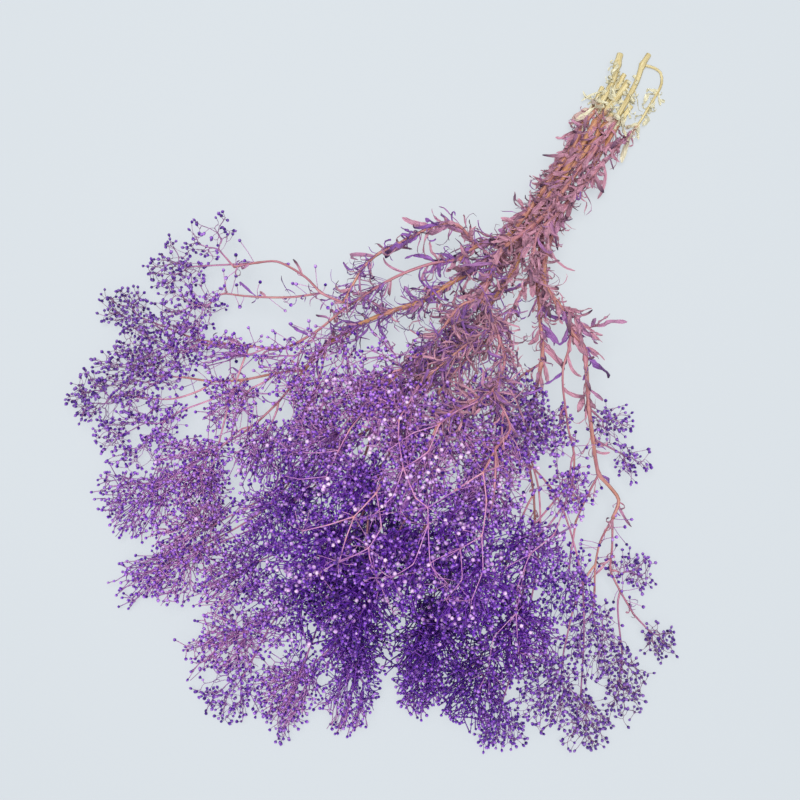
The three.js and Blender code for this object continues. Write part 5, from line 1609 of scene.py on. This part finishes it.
class Crowd:
    """The buds and clusters that stand so far, so that later ones keep clear of them."""

    def __init__(self) -> None:
        """Starts with none."""
        self.clusters: list[Array] = []
        self.buds: dict[tuple[int, ...], list[Array]] = {}

    def free(self, place: Array) -> bool:
        """Whether a place has room for a bud, which then takes it."""
        if in_window(place):
            return False
        i, j, k = (math.floor(c / SPRAY.crowd) for c in place)
        for di in (-1, 0, 1):
            for dj in (-1, 0, 1):
                for dk in (-1, 0, 1):
                    for other in self.buds.get((i + di, j + dj, k + dk), ()):
                        x, y, z = place[0] - other[0], place[1] - other[1], place[2] - other[2]
                        if x * x + y * y + z * z < SPRAY.crowd**2:
                            return False
        self.buds.setdefault((i, j, k), []).append(place)
        return True


Twig = tuple[Array, Array, Array, float, float]  # start, bend, end and the radius at each end


def bare_thread(
    start: Array, end: Array, bend_spread: float, draws: Generator
) -> tuple[Array, Array, Array]:
    """The start, bend and end of a loose thread, kept off the table and under the ceiling."""
    end[2] = min(max(end[2], SPRAY.floor), SPRAY.ceiling)
    bend = (start + end) / 2 + draws.normal(0, bend_spread, 3)
    bend[2] = max(bend[2], SPRAY.floor)
    return start, bend, end


def arcs(
    skin: Skin, twigs: Sequence[Twig], sides: int, stations: int,
    growth: Callable[[Array, Array], Array],
) -> None:
    """Adds twigs as tubes, each on a curve of its start, bend and end.

    Args:
        skin: What they are added to.
        twigs: The twigs.
        sides: The corners of a ring.
        stations: How many rings a tube has.
        growth: Gives the shares of tubes from their paths and radii.
    """
    if not twigs:
        return
    start, bend, end = (np.stack([twig[k] for twig in twigs])[:, None] for k in range(3))
    t = np.linspace(0, 1, stations)[None, :, None]
    paths = start * (1 - t) ** 2 + bend * 2 * t * (1 - t) + end * t**2
    ends = np.array([[twig[3], twig[4]] for twig in twigs])
    radii = ends[:, :1] + (ends[:, 1:] - ends[:, :1]) * t[..., 0]
    radii[:, -1] *= SPRAY.knot
    skin.tubes(paths, radii, sides, growth(paths, radii))


@dataclass
class FineSpray:
    """One spray: the arm that carries it, its forking threads and its buds."""

    plan: SprayPlan
    number: int
    arm: Chain
    crowd: Crowd
    finishes: dict[str, "Finish"]
    twigs: tuple[list[Twig], ...] = field(default_factory=lambda: ([], [], []))
    threads: list[Twig] = field(default_factory=list)
    bare: list[Twig] = field(default_factory=list)
    bud_feet: list[Array] = field(default_factory=list)
    bud_ways: list[Array] = field(default_factory=list)

    @property
    def bud_count(self) -> int:
        """How many buds the spray bears."""
        return round(self.plan.buds * SPRAY.fullness)

    @property
    def loose(self) -> bool:
        """Whether the spray stands at the bunch's edge, where single threads are seen."""
        return bool(ZONES.outward(np.array(self.plan.middle, float)) > SPRAY.edge)

    @property
    def thread(self) -> float:
        """The radius of the spray's thinnest threads."""
        if self.loose:
            return SPRAY.thread
        # Sprays in the painted deep shade of the heart have thicker threads.
        painted_deep_shade = ZONES.painted_light(np.array(self.plan.middle, float)) < SPRAY.painted_deep_shade
        return SPRAY.deep_thread if painted_deep_shade else SPRAY.mass_thread

    def spread(self, heading: Array, draws: Generator) -> Array:
        """Places for the clusters, evenly through the spray and thinning out at its edge.

        Args:
            heading: The way from the end of the arm to the spray's middle.
            draws: The spray's seeded draws.

        Returns:
            The middle of each cluster.
        """
        across = units(np.cross(heading, UP))
        axes = np.stack([heading, across, np.cross(across, heading)])
        axes = axes * np.array(self.plan.reach)[:, None]
        middle = np.array(SIGHT.placed(self.plan.middle))
        chosen: list[Array] = []
        cluster = SPRAY.loose_cluster if self.loose else SPRAY.cluster
        for _ in range(max(3, round(self.bud_count / cluster))):
            ball = draws.uniform(-1, 1, (SPRAY.tries * SPRAY.more_tries, 3)) * SPRAY.outer
            far = np.linalg.norm(ball, axis=1)
            kept = draws.random(len(ball)) < (SPRAY.outer - far) / (SPRAY.outer - SPRAY.full)
            ball = ball[kept][: SPRAY.tries]
            ball[:, 1] *= 1 - np.maximum(0, -ball[:, 0]) * SPRAY.taper
            places = middle + ball @ axes
            places[:, 2] = np.clip(places[:, 2], SPRAY.floor + 1, SPRAY.ceiling)
            others = np.array(self.crowd.clusters[-SPRAY.remembered:] + chosen)
            if len(others):
                gaps = np.linalg.norm(places[:, None] - others[None], axis=2).min(axis=1)
                chosen.append(places[np.argmax(gaps)])
            else:
                chosen.append(places[0])
        self.crowd.clusters.extend(chosen)
        return np.stack(chosen)

    def bud_places(self, heading: Array, draws: Generator) -> Array:
        """Bud places in loose clusters, out to the spray's furthest tips.

        Args:
            heading: The way from the end of the arm to the spray's middle.
            draws: The spray's seeded draws.

        Returns:
            A place for each bud.
        """
        clusters = self.spread(heading, draws)
        width = SPRAY.loose_width if self.loose else SPRAY.cluster_width
        chosen: list[Array] = []
        for tries in range(self.bud_count * SPRAY.patience):
            if len(chosen) == self.bud_count:
                break
            centre = clusters[tries % len(clusters)]
            place = centre + draws.normal(0, 1, 3) * width
            place[2] = min(max(place[2], SPRAY.floor), SPRAY.ceiling)
            if self.crowd.free(place):
                chosen.append(place)
        return np.stack(chosen)

    def thickness(self, buds: int) -> float:
        """The radius of a thread that bears so many buds."""
        share = (buds / self.bud_count) ** SPRAY.power
        return self.thread + (ARM.tip_radius * SPRAY.arm_round - self.thread) * share

    def fork(self, start: Array, way: Array, buds: Array, depth: int, draws: Generator) -> None:
        """Grows a twig towards the middle of its buds and forks it there.

        Args:
            start: Where the twig starts.
            way: The way of the twig that bears it.
            buds: The places of the buds that it bears.
            depth: How many forks lie before it.
            draws: The spray's seeded draws.
        """
        if len(buds) == 1:
            self.bud_thread(start, way, buds[0], draws)
            return
        centre = buds.mean(axis=0)
        reach = centre - start
        run = np.linalg.norm(reach)
        grade = sum(len(buds) >= fewest for fewest in SPRAY.grades)
        share = SPRAY.shares[grade if depth or grade < 2 else 3]
        share += draws.uniform(-1, 1) * SPRAY.wander
        at = start + reach * share + draws.normal(0, SPRAY.jitter, 3) * run
        at[2] = max(at[2], SPRAY.floor * SPRAY.lowest)
        lean = units(units(at - start) * SPRAY.straight + way * SPRAY.follow)
        bend = start + lean * np.linalg.norm(at - start) * 0.5
        thick = self.thickness(len(buds))
        self.twigs[grade].append((start, bend, at, thick, thick * SPRAY.thinning))
        onward = units(at - bend)
        offsets = buds - centre
        offsets = offsets - onward * (offsets @ onward)[:, None]
        axes = np.linalg.eigh(offsets.T @ offsets)[1]
        axis = axes[:, 2] * (1 if axes[np.argmax(np.abs(axes[:, 2])), 2] > 0 else -1)
        order = np.argsort(offsets @ axis, kind="stable")
        parts = 3 if len(buds) > SPRAY.few and draws.random() < SPRAY.forks_in_three else 2
        cuts = np.linspace(0, len(buds), parts + 1).round().astype(int)
        for low, high in zip(cuts[:-1], cuts[1:]):
            if high > low:
                self.fork(at, onward, buds[order[low:high]], depth + 1, draws)
        if grade == 2 and not self.loose:
            thick, thin = (self.thread * share for share in SPRAY.bare_radii)
            for place in buds[draws.random(len(buds)) < SPRAY.bare]:
                end = place + draws.normal(0, SPRAY.bare_spread, 3)
                self.bare.append((*bare_thread(at, end, SPRAY.bare_bend, draws), thick, thin))

    def bud_thread(self, start: Array, way: Array, place: Array, draws: Generator) -> None:
        """Grows the thread of one bud, which springs from its twig and bends to the bud."""
        run = np.linalg.norm(place - start)
        if run < SPRAY.shortest:
            run = SPRAY.shortest
            place = start + units(place - start + way * SPRAY.short_turn) * run
        bend = start + units(units(place - start) + way * SPRAY.thread_follow) * run * 0.5
        bend = bend + draws.normal(0, SPRAY.thread_jitter, 3) * run
        bend[2] = max(bend[2], self.thread)
        thick = self.thread * SPRAY.bare_radii[0]
        self.threads.append((start, bend, place, thick, self.thread))
        self.bud_feet.append(place)
        self.bud_ways.append(units(place - bend))

    def build(self) -> None:
        """Grows the spray, makes its two pieces and dresses them."""
        seed = SPRAY.seed + self.number + (0 if self.plan.stem else SPRAY.side_seed)
        draws = np.random.default_rng(seed)
        path, marks = smooth_path(self.arm.places, SPRAY.arm_spacing)
        end, way = path[-1], units(path[-1] - path[-2])
        heading = units(SIGHT.placed(self.plan.middle) - end)
        self.fork(end, way, self.bud_places(heading, draws), 0, draws)
        twigs, buds = Skin(), Skin()
        tone = draws.random()

        def growth(paths: Array, radii: Array) -> Array:
            """The shares of twigs: a draw, thickness, how far out, and their painted light and
            shade.
            """
            mixed = tone * 0.5 + draws.random((len(radii), 1)) * 0.5
            return joined(mixed, SPRAY.thick(radii), ZONES.outward(paths), ZONES.painted_light(paths))

        radii = np.interp(marks, range(len(self.arm.radii)), self.arm.radii) * SPRAY.arm_round
        sides = SPRAY.arm_sides
        twigs.tubes(path[None], radii[None], sides, growth(path[None], radii[None]), sides)
        few = 3 if self.loose else 2
        arcs(twigs, self.twigs[2], 4, few + 1, growth)
        for thin in (self.twigs[1], self.twigs[0], self.threads):
            arcs(twigs, thin, 3, few, growth)
        arcs(twigs, self.bare, 3, 3, growth)
        self.place_buds(buds, draws)
        node = f"spray_{self.number:02d}" if self.plan.stem else None
        name = node or f"side_spray_{self.number:02d}"
        for skin, part in ((twigs, "twigs"), (buds, "buds")):
            dress(skin.make(f"{name}_{part}"), node, self.finishes[part])

    def place_buds(self, skin: Skin, draws: Generator) -> None:
        """Adds a bud at the end of each thread, of the kind that grows there."""
        feet, ways = np.stack(self.bud_feet), np.stack(self.bud_ways)
        count = len(feet)
        dusk = ZONES.outward(feet)
        waves = np.sin(feet @ np.array(SPRAY.waves))
        (low, rise), (mean, swing) = SPRAY.pale_height, SPRAY.pale_group
        pale = draws.random(count) ** SPRAY.pale_power * (low + rise * SPRAY.high(feet[:, 2]))
        pale = np.clip(pale * (mean + swing * (waves[:, 0] * waves[:, 1])) * (1 - dusk), 0, 1)
        dusk = np.clip(dusk + draws.normal(0, SPRAY.dusk_spread, count), 0, 1)
        kinds = np.where(self.loose, 2, np.where(pale > SPRAY.pale_ball, 1, 0))
        # Tones mix a random draw with painted light and shade from the bloom's depth.
        by_draw, by_painted_light, less = SPRAY.tone
        tones = by_draw * draws.random(count) + by_painted_light * ZONES.painted_light(feet) - less
        spin = draws.uniform(0, math.pi, count)
        shares = np.stack([tones, pale, dusk], axis=-1)
        for number, kind in enumerate(BudKind):
            picked = kinds == number
            some = int(picked.sum())
            if not some:
                continue
            # Every kind draws a small bud's sizes first, which keeps the row of draws alike.
            shapes = [BudKind.SMALL.value, *([] if kind is BudKind.SMALL else [kind.value])]
            for shape in shapes:
                length = draws.uniform(*shape.length, some)
                radius = draws.uniform(*shape.radius, some)
            skin.bodies(
                feet[picked], ways[picked], length, radius, kind.value.profile,
                SPRAY.bud_sides, shares[picked], spin[picked],
            )


@dataclass
class TopTwigs:
    """The thin twigs that lie over the bloom, with a few buds at their forks."""

    plans: Sequence[TwigPlan]
    bunch: Bunch
    finishes: dict[str, "Finish"]
    seed: int = 6100
    sides: int = 5
    cell_stations: int = 5
    slim: float = 0.84
    spacing: float = 2.5
    softness: float = 0.3
    knot: Pair = (0.3, 0.12)  # how much thicker, and how far along the twig
    buds: int = 5  # at each place of a twig
    reach: Pair = (3.5, 15)
    flatness: Triple = (1, 1, 0.5)
    bend_spread: float = 0.9
    thread_radii: Pair = (0.24, 0.2)
    bud_length: Pair = (2.1, 2.7)
    bud_radius: Pair = (1.0, 1.3)
    thick: Rise = Rise(0.14, 0.5)
    limb_spacing: float = 2.2
    limb_share: float = 0.5
    limb_top: float = 10  # limbs bear buds from here down

    def build(self) -> None:
        """Makes the twigs and their buds and dresses them."""
        draws = np.random.default_rng(self.seed)

        def growth(paths: Array, radii: Array) -> Array:
            """The shares of twigs: a draw and thickness, none far out and all in full painted
            light.
            """
            return joined(draws.random((len(radii), 1)), self.thick(radii), 0.0, 1.0)

        twigs, buds = Skin(), Skin()
        roots: list[Sequence[float]] = []
        more, width = self.knot
        for plan in self.plans:
            places = [SIGHT.placed(place) for place in plan.path]
            if plan.stem:
                places[0] = Bunch.nearest(self.bunch.stems[plan.stem - 1], places[0]).at
            path, marks = smooth_path(places, self.spacing, self.softness)
            radii = np.interp(marks, (0, marks[-1]), plan.radii) * self.slim
            radii = radii * (1 + more * np.exp(-(((marks - marks.round()) / width) ** 2)))
            one, radii = path[None], radii[None]
            twigs.tubes(one, radii, self.sides, growth(one, radii), self.cell_stations)
            roots += [place for place in places[2:] for _ in range(self.buds)]
        for chain in [chain for chains in self.bunch.stems for chain in chains[1:]]:
            path, _ = smooth_path(chain.places, self.limb_spacing)
            picked = (path[:, 1] < self.limb_top) & (draws.random(len(path)) < self.limb_share)
            roots += list(path[picked])
        threads: list[Twig] = []
        for root in np.array(roots):
            way = units(draws.normal(0, 1, 3) * self.flatness)
            end = root + way * draws.uniform(*self.reach)
            thread = bare_thread(root, end, self.bend_spread, draws)
            threads.append((*thread, *self.thread_radii))
        arcs(twigs, threads, 3, 3, growth)
        feet = np.stack([end for _, _, end, _, _ in threads])
        ways = np.stack([units(end - bend) for _, bend, end, _, _ in threads])
        count = len(feet)
        dusk = ZONES.outward(feet)
        shares = joined(draws.random(count), draws.random(count) * 0.5 * (1 - dusk), dusk)
        length, radius = (draws.uniform(*s, count) for s in (self.bud_length, self.bud_radius))
        buds.bodies(
            feet, ways, length, radius, BudKind.BALL.value.profile, SPRAY.bud_sides, shares,
            draws.uniform(0, math.pi, count),
        )
        for skin, part in ((twigs, "twigs"), (buds, "buds")):
            dress(skin.make(f"top_{part}"), None, self.finishes[part])


def tint(code: str) -> tuple[float, float, float, float]:
    """A colour given as six hex figures, as linear light."""
    parts = [int(code[i:i + 2], 16) / 255 for i in (0, 2, 4)]
    linear = [c / 12.92 if c <= 0.04045 else ((c + 0.055) / 1.055) ** 2.4 for c in parts]
    return (linear[0], linear[1], linear[2], 1.0)


class Recipe:
    """A material in the making: its nodes, and how they are joined."""

    def __init__(self, name: str) -> None:
        """Starts a material with a plain shader."""
        self.material = bpy.data.materials.new(name)
        self.material.use_nodes = True
        self.tree = self.material.node_tree
        self.shader = self.tree.nodes["Principled BSDF"]

    def node(self, kind: str, **settings: object) -> bpy.types.Node:
        """Adds a node and sets its properties."""
        made = self.tree.nodes.new(kind)
        for key, value in settings.items():
            setattr(made, key, value)
        return made

    def join(self, source: Socket, target: Socket) -> None:
        """Joins two sockets."""
        self.tree.links.new(source, target)

    def growth(self) -> tuple[Socket, ...]:
        """The four shares that each corner carries."""
        read = self.node("ShaderNodeAttribute", attribute_name="Growth")
        split = self.node("ShaderNodeSeparateColor")
        self.join(read.outputs["Color"], split.inputs["Color"])
        return (*split.outputs[:3], read.outputs["Alpha"])

    def grain(self) -> Socket:
        """Where a corner lies in the grain, in millimetres."""
        return self.node("ShaderNodeAttribute", attribute_name="Grain").outputs["Vector"]

    def noise(self, place: Socket, scale: Sequence[float], detail: float) -> Socket:
        """Soft noise over a place stretched by a scale along each axis."""
        stretch = self.node("ShaderNodeVectorMath", operation="MULTIPLY")
        self.join(place, stretch.inputs[0])
        stretch.inputs[1].default_value = scale
        made = self.node("ShaderNodeTexNoise")
        made.inputs["Scale"].default_value = 1.0
        made.inputs["Detail"].default_value = detail
        self.join(stretch.outputs[0], made.inputs["Vector"])
        return made.outputs["Fac"]

    def ramp(
        self, factor: Socket, codes: Sequence[str], places: Sequence[float] = (0, 1)
    ) -> Socket:
        """Colours that follow a share, each at its place."""
        made = self.node("ShaderNodeValToRGB")
        elements = made.color_ramp.elements
        while len(elements) < len(codes):
            elements.new(1.0)
        for element, place, code in zip(elements, places, codes):
            element.position = place
            element.color = tint(code)
        self.join(factor, made.inputs["Fac"])
        return made.outputs["Color"]

    def steps(
        self, factor: Socket, low: float, high: float,
        out_low: float = 0.0, out_high: float = 1.0,
    ) -> Socket:
        """A share brought from one span to another, and kept inside it."""
        made = self.node("ShaderNodeMapRange")
        self.join(factor, made.inputs["Value"])
        for name, value in (
            ("From Min", low), ("From Max", high), ("To Min", out_low), ("To Max", out_high)
        ):
            made.inputs[name].default_value = value
        return made.outputs["Result"]

    def blend(self, factor: Socket, first: Socket, second: Socket | str) -> Socket:
        """Two colours mixed by a share."""
        made = self.node("ShaderNodeMix", data_type="RGBA")
        self.join(factor, made.inputs["Factor"])
        a, b = (s for s in made.inputs if s.type == "RGBA")
        for socket, colour in ((a, first), (b, second)):
            if isinstance(colour, str):
                socket.default_value = tint(colour)
            else:
                self.join(colour, socket)
        return next(s for s in made.outputs if s.type == "RGBA")

    def sum(self, one: Socket, two: Socket, kind: str = "ADD") -> Socket:
        """Two shares joined by a sum, or by another operation."""
        made = self.node("ShaderNodeMath", operation=kind, use_clamp=True)
        self.join(one, made.inputs[0])
        self.join(two, made.inputs[1])
        return made.outputs[0]

    def bump(self, height: Socket, depth: float) -> None:
        """Lets the surface rise and fall with a share, by a depth in millimetres."""
        made = self.node("ShaderNodeBump")
        made.inputs["Distance"].default_value = depth * MM
        self.join(height, made.inputs["Height"])
        self.join(made.outputs["Normal"], self.shader.inputs["Normal"])

    def evenly(self, **values: Sequence[float] | float) -> None:
        """Sets what is alike all over: values of the shader, by name with _ for each space."""
        for name, value in values.items():
            self.shader.inputs[name.replace("_", " ")].default_value = value


@dataclass(frozen=True)
class Finish:
    """A finish: its name, its roughness, and how its colours are laid."""

    name: str
    roughness: float
    sheen: float = 0.0
    gloss: float = 0.2

    def material(self) -> bpy.types.Material:
        """Makes the finish's material."""
        recipe = Recipe(self.name)
        recipe.join(self.colour(recipe), recipe.shader.inputs["Base Color"])
        recipe.evenly(
            Roughness=self.roughness, Sheen_Weight=self.sheen, Specular_IOR_Level=self.gloss
        )
        return recipe.material

    def colour(self, recipe: Recipe) -> Socket:
        """Lays the finish's colours."""
        raise NotImplementedError


@dataclass(frozen=True)
class BarkFinish(Finish):
    """Straw at the cut ends, dyed tan to rose below, streaked along the grain."""

    straw: Tones = ("ac9660", "e0d3a6")
    tan: Tones = ("8c5638", "d29e76")
    rose: Tones = ("8a4a60", "cc929c")
    pith: str = "f2e7c4"

    def colour(self, recipe: Recipe) -> Socket:
        """Lays streaks of straw, tan and rose."""
        tone, pink, dye, pith = recipe.growth()
        grain = recipe.grain()
        streaks = recipe.noise(grain, (1.6, 1.6, 0.09), 5)
        blotches = recipe.noise(grain, (0.35, 0.35, 0.06), 2)
        even = recipe.steps(streaks, 0.3, 0.7)
        straw, tan, rose = (recipe.ramp(even, codes) for codes in (self.straw, self.tan, self.rose))
        drift = recipe.steps(blotches, 0.35, 0.65, -0.3, 0.3)
        flush = recipe.sum(pink, drift)
        dyed = recipe.blend(flush, tan, rose)
        whole = recipe.blend(dye, straw, dyed)
        recipe.bump(streaks, 0.12)
        return recipe.blend(pith, whole, self.pith)


@dataclass(frozen=True)
class LeafFinish(Finish):
    """Curled leaves: mauve to violet, nearly black at some tips, and pale where undyed."""

    pale: Tones = ("b9b28e", "e6e0c6")
    mauve: Tones = ("884c66", "dca8b8")
    violet: Tones = ("4e2678", "aa74be")
    dark: str = "2a1236"

    def colour(self, recipe: Recipe) -> Socket:
        """Lays veins, dyed tones and dark tips."""
        tone, along, dye, tips = recipe.growth()
        grain = recipe.grain()
        veins = recipe.steps(recipe.noise(grain, (3.5, 1, 0.35), 3), 0.3, 0.7)
        pale, mauve, violet = (
            recipe.ramp(veins, codes) for codes in (self.pale, self.mauve, self.violet)
        )
        dyed = recipe.blend(recipe.steps(tone, 0.5, 0.85), mauve, violet)
        whole = recipe.blend(dye, pale, dyed)
        far = recipe.steps(along, 0.35, 1.0)
        chosen = recipe.steps(tips, 0.55, 0.8)
        shade = recipe.sum(recipe.sum(far, chosen, "MULTIPLY"), dye, "MULTIPLY")
        recipe.bump(veins, 0.1)
        return recipe.blend(shade, whole, self.dark)


@dataclass(frozen=True)
class TwigFinish(Finish):
    """Threads from lilac to rose, darker in painted shade low in the heart, and thicker twigs that
    keep some tan.
    """

    painted_deep_shade: Tones = ("1e0264", "5416a4")
    violet: Tones = ("4c149a", "8e48c6")
    lilac: Tones = ("a862b0", "dea4ce")
    dusk: Tones = ("6e4070", "aa80a2")
    rose: Tones = ("a4586c", "e2aaa8")
    far_rose: Tones = ("8a4a66", "c48a9e")
    tan: str = "dca478"

    def colour(self, recipe: Recipe) -> Socket:
        """Lays painted deep shade, violet and lilac on the threads by their painted light, and rose
        and tan on the thick twigs.
        """
        draw, thickness, far, light = recipe.growth()
        grain = recipe.grain()
        streaks = recipe.steps(recipe.noise(grain, (2.2, 2.2, 0.2), 3), 0.3, 0.7)
        painted_deep_shade, violet, lilac, dusk, rose, far_rose = (
            recipe.ramp(streaks, codes) for codes in (
                self.painted_deep_shade, self.violet, self.lilac, self.dusk, self.rose, self.far_rose
            )
        )
        # The fourth share is the painted light; with a small random shift it takes fine threads
        # from painted deep shade through violet to lilac.
        level = recipe.sum(light, recipe.steps(draw, 0, 1, -0.2, 0.2))
        dyed = recipe.blend(recipe.steps(level, 0.05, 0.5), painted_deep_shade, violet)
        dyed = recipe.blend(recipe.steps(level, 0.5, 1.0), dyed, lilac)
        fine = recipe.blend(far, dyed, dusk)
        warm = recipe.blend(recipe.steps(draw, 0.72, 1.0), rose, self.tan)
        thick = recipe.blend(recipe.steps(far, 0.0, 0.6), warm, far_rose)
        recipe.bump(streaks, 0.06)
        return recipe.blend(recipe.steps(thickness, 0.3, 0.85), fine, thick)


@dataclass(frozen=True)
class BudFinish(Finish):
    """Buds: a dark foot, violet sides and a lilac crown, some pale and some nearly black, lighter
    or darker by their painted light and shade.
    """

    violet: tuple[str, str, str] = ("1e005e", "6420ae", "ba80de")
    pale: tuple[str, str, str] = ("8a4cae", "c896d6", "ecd0e8")
    dusk: tuple[str, str, str] = ("220f48", "4a2580", "845eae")

    def colour(self, recipe: Recipe) -> Socket:
        """Lays the tones from foot to crown."""
        tone, along, pale, dusk = recipe.growth()
        place = recipe.grain()
        mottle = recipe.noise(place, (1.4, 1.4, 1.4), 3)
        shift = recipe.steps(mottle, 0.3, 0.7, -0.22, 0.22)
        # The tone share holds a random tone and the painted light, which lifts lit buds towards
        # lilac and leaves shaded ones dark.
        lift = recipe.steps(tone, 0, 1, -0.3, 0.3)
        level = recipe.sum(recipe.sum(along, shift), lift)
        most, palest, darkest = (
            recipe.ramp(level, codes, (0.05, 0.5, 1))
            for codes in (self.violet, self.pale, self.dusk)
        )
        base = recipe.blend(recipe.steps(pale, 0.2, 0.6), most, palest)
        recipe.bump(mottle, 0.18)
        return recipe.blend(dusk, base, darkest)


@dataclass(frozen=True)
class TableFinish(Finish):
    """The plain pale table."""

    tones: Tones = ("666969", "696c6c")
    glow: str = "dde4eb"
    glow_strength: float = 0.7  # a lit table, whose shadows are as weak as the daylight's

    def material(self) -> bpy.types.Material:
        """Makes the table's material, lit a little from below."""
        made = super().material()
        shader = made.node_tree.nodes["Principled BSDF"]
        shader.inputs["Emission Color"].default_value = tint(self.glow)
        shader.inputs["Emission Strength"].default_value = self.glow_strength
        return made

    def colour(self, recipe: Recipe) -> Socket:
        """Lays one pale colour with the faintest drift."""
        place = recipe.node("ShaderNodeTexCoord").outputs["Object"]
        drift = recipe.noise(place, (2, 2, 2), 1)
        return recipe.ramp(drift, self.tones)


def dress(piece: bpy.types.Object, node: str | None, finish: Finish) -> None:
    """Gives a piece its finish and its place in the frame.

    Args:
        piece: The piece.
        node: The CAD node that it stands for, if there is one.
        finish: The finish.
    """
    found = bpy.data.materials.get(finish.name)
    piece.data.materials.append(found or finish.material())
    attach(piece, BODY)
    if node:
        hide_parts(node)


@dataclass(frozen=True)
class Studio:
    """The table, the soft light and the camera."""

    table: float = 4.0
    key_at: Point = (-0.3, 0.2, 2.3)
    key_size: float = 1.2
    key_power: float = 54
    fill_at: Point = (0.7, -0.7, 2.2)
    fill_size: float = 2.4
    fill_power: float = 14
    sky: float = 0.42
    sky_colour: str = "e6edf5"
    sensor: float = 36
    gap: float = 0.05  # millimetres that the table lies below the bunch

    def lamp(self, name: str, at: Point, width: float, power: float) -> None:
        """Adds a square soft lamp that faces the middle of the table."""
        light = bpy.data.lights.new(name, "AREA")
        light.size = width
        light.energy = power
        lamp = bpy.data.objects.new(name, light)
        lamp.location = at
        way = Vector(at).normalized()
        lamp.rotation_euler = way.to_track_quat("Z", "Y").to_euler()
        bpy.context.scene.collection.objects.link(lamp)

    def build(self) -> None:
        """Sets up the table, the lamps, the sky and the camera."""
        half = self.table / 2
        mesh = bpy.data.meshes.new("table")
        corners = [(-half, -half, 0), (half, -half, 0), (half, half, 0), (-half, half, 0)]
        mesh.from_pydata(corners, [], [(0, 1, 2, 3)])
        mesh.materials.append(TableFinish("table_white", 0.6).material())
        table = bpy.data.objects.new("table", mesh)
        table.location.z = -self.gap * MM
        bpy.context.scene.collection.objects.link(table)
        self.lamp("key_light", self.key_at, self.key_size, self.key_power)
        self.lamp("fill_light", self.fill_at, self.fill_size, self.fill_power)
        world = bpy.data.worlds.new("soft_room")
        world.use_nodes = True
        background = world.node_tree.nodes["Background"]
        background.inputs["Color"].default_value = tint(self.sky_colour)
        background.inputs["Strength"].default_value = self.sky
        bpy.context.scene.world = world
        camera_data = bpy.data.cameras.new("camera")
        camera_data.sensor_width = self.sensor
        camera_data.lens = self.sensor * SIGHT.height / SIGHT.width
        camera = bpy.data.objects.new("camera", camera_data)
        camera.location = (SIGHT.x * MM, SIGHT.y * MM, SIGHT.height * MM)
        camera.rotation_euler = (0, 0, SIGHT.turn)
        bpy.context.scene.collection.objects.link(camera)
        bpy.context.scene.camera = camera
        bpy.context.scene.view_settings.view_transform = "Standard"


def main() -> None:
    """Builds the bunch, dresses it and sets up the studio."""
    logging.basicConfig(level=logging.INFO, format="%(name)s: %(message)s")
    bunch = Bunch(STEMS, SPRAYS, SIDE_SPRAYS)
    finishes: dict[str, Finish] = {
        "stalks": BarkFinish("dyed_bark", 0.62),
        "leaves": LeafFinish("curled_leaf", 0.7, 0.1),
        "twigs": TwigFinish("dyed_thread", 0.6),
        "buds": BudFinish("violet_bud", 0.66, 0.15),
    }
    fork_spots = {id(chain.spots[0]) for chains in bunch.stems for chain in chains[1:]}
    fork_spots |= {id(arm.spots[0]) for arm in bunch.arms}
    blades: list[Stretch] = []
    for owner, plan in enumerate(STEMS):
        stem = LeafyStem(plan, bunch.stems[owner], owner, bunch, fork_spots, finishes)
        stem.build(blades)
    crowd = Crowd()
    for plans, arms in ((SPRAYS, bunch.arms), (SIDE_SPRAYS, bunch.side_arms)):
        for number, (plan, arm) in enumerate(zip(plans, arms), 1):
            FineSpray(plan, number, arm, crowd, finishes).build()
    TopTwigs(TOP_TWIGS, bunch, finishes).build()
    Studio().build()


if __name__ == "__main__":
    main()
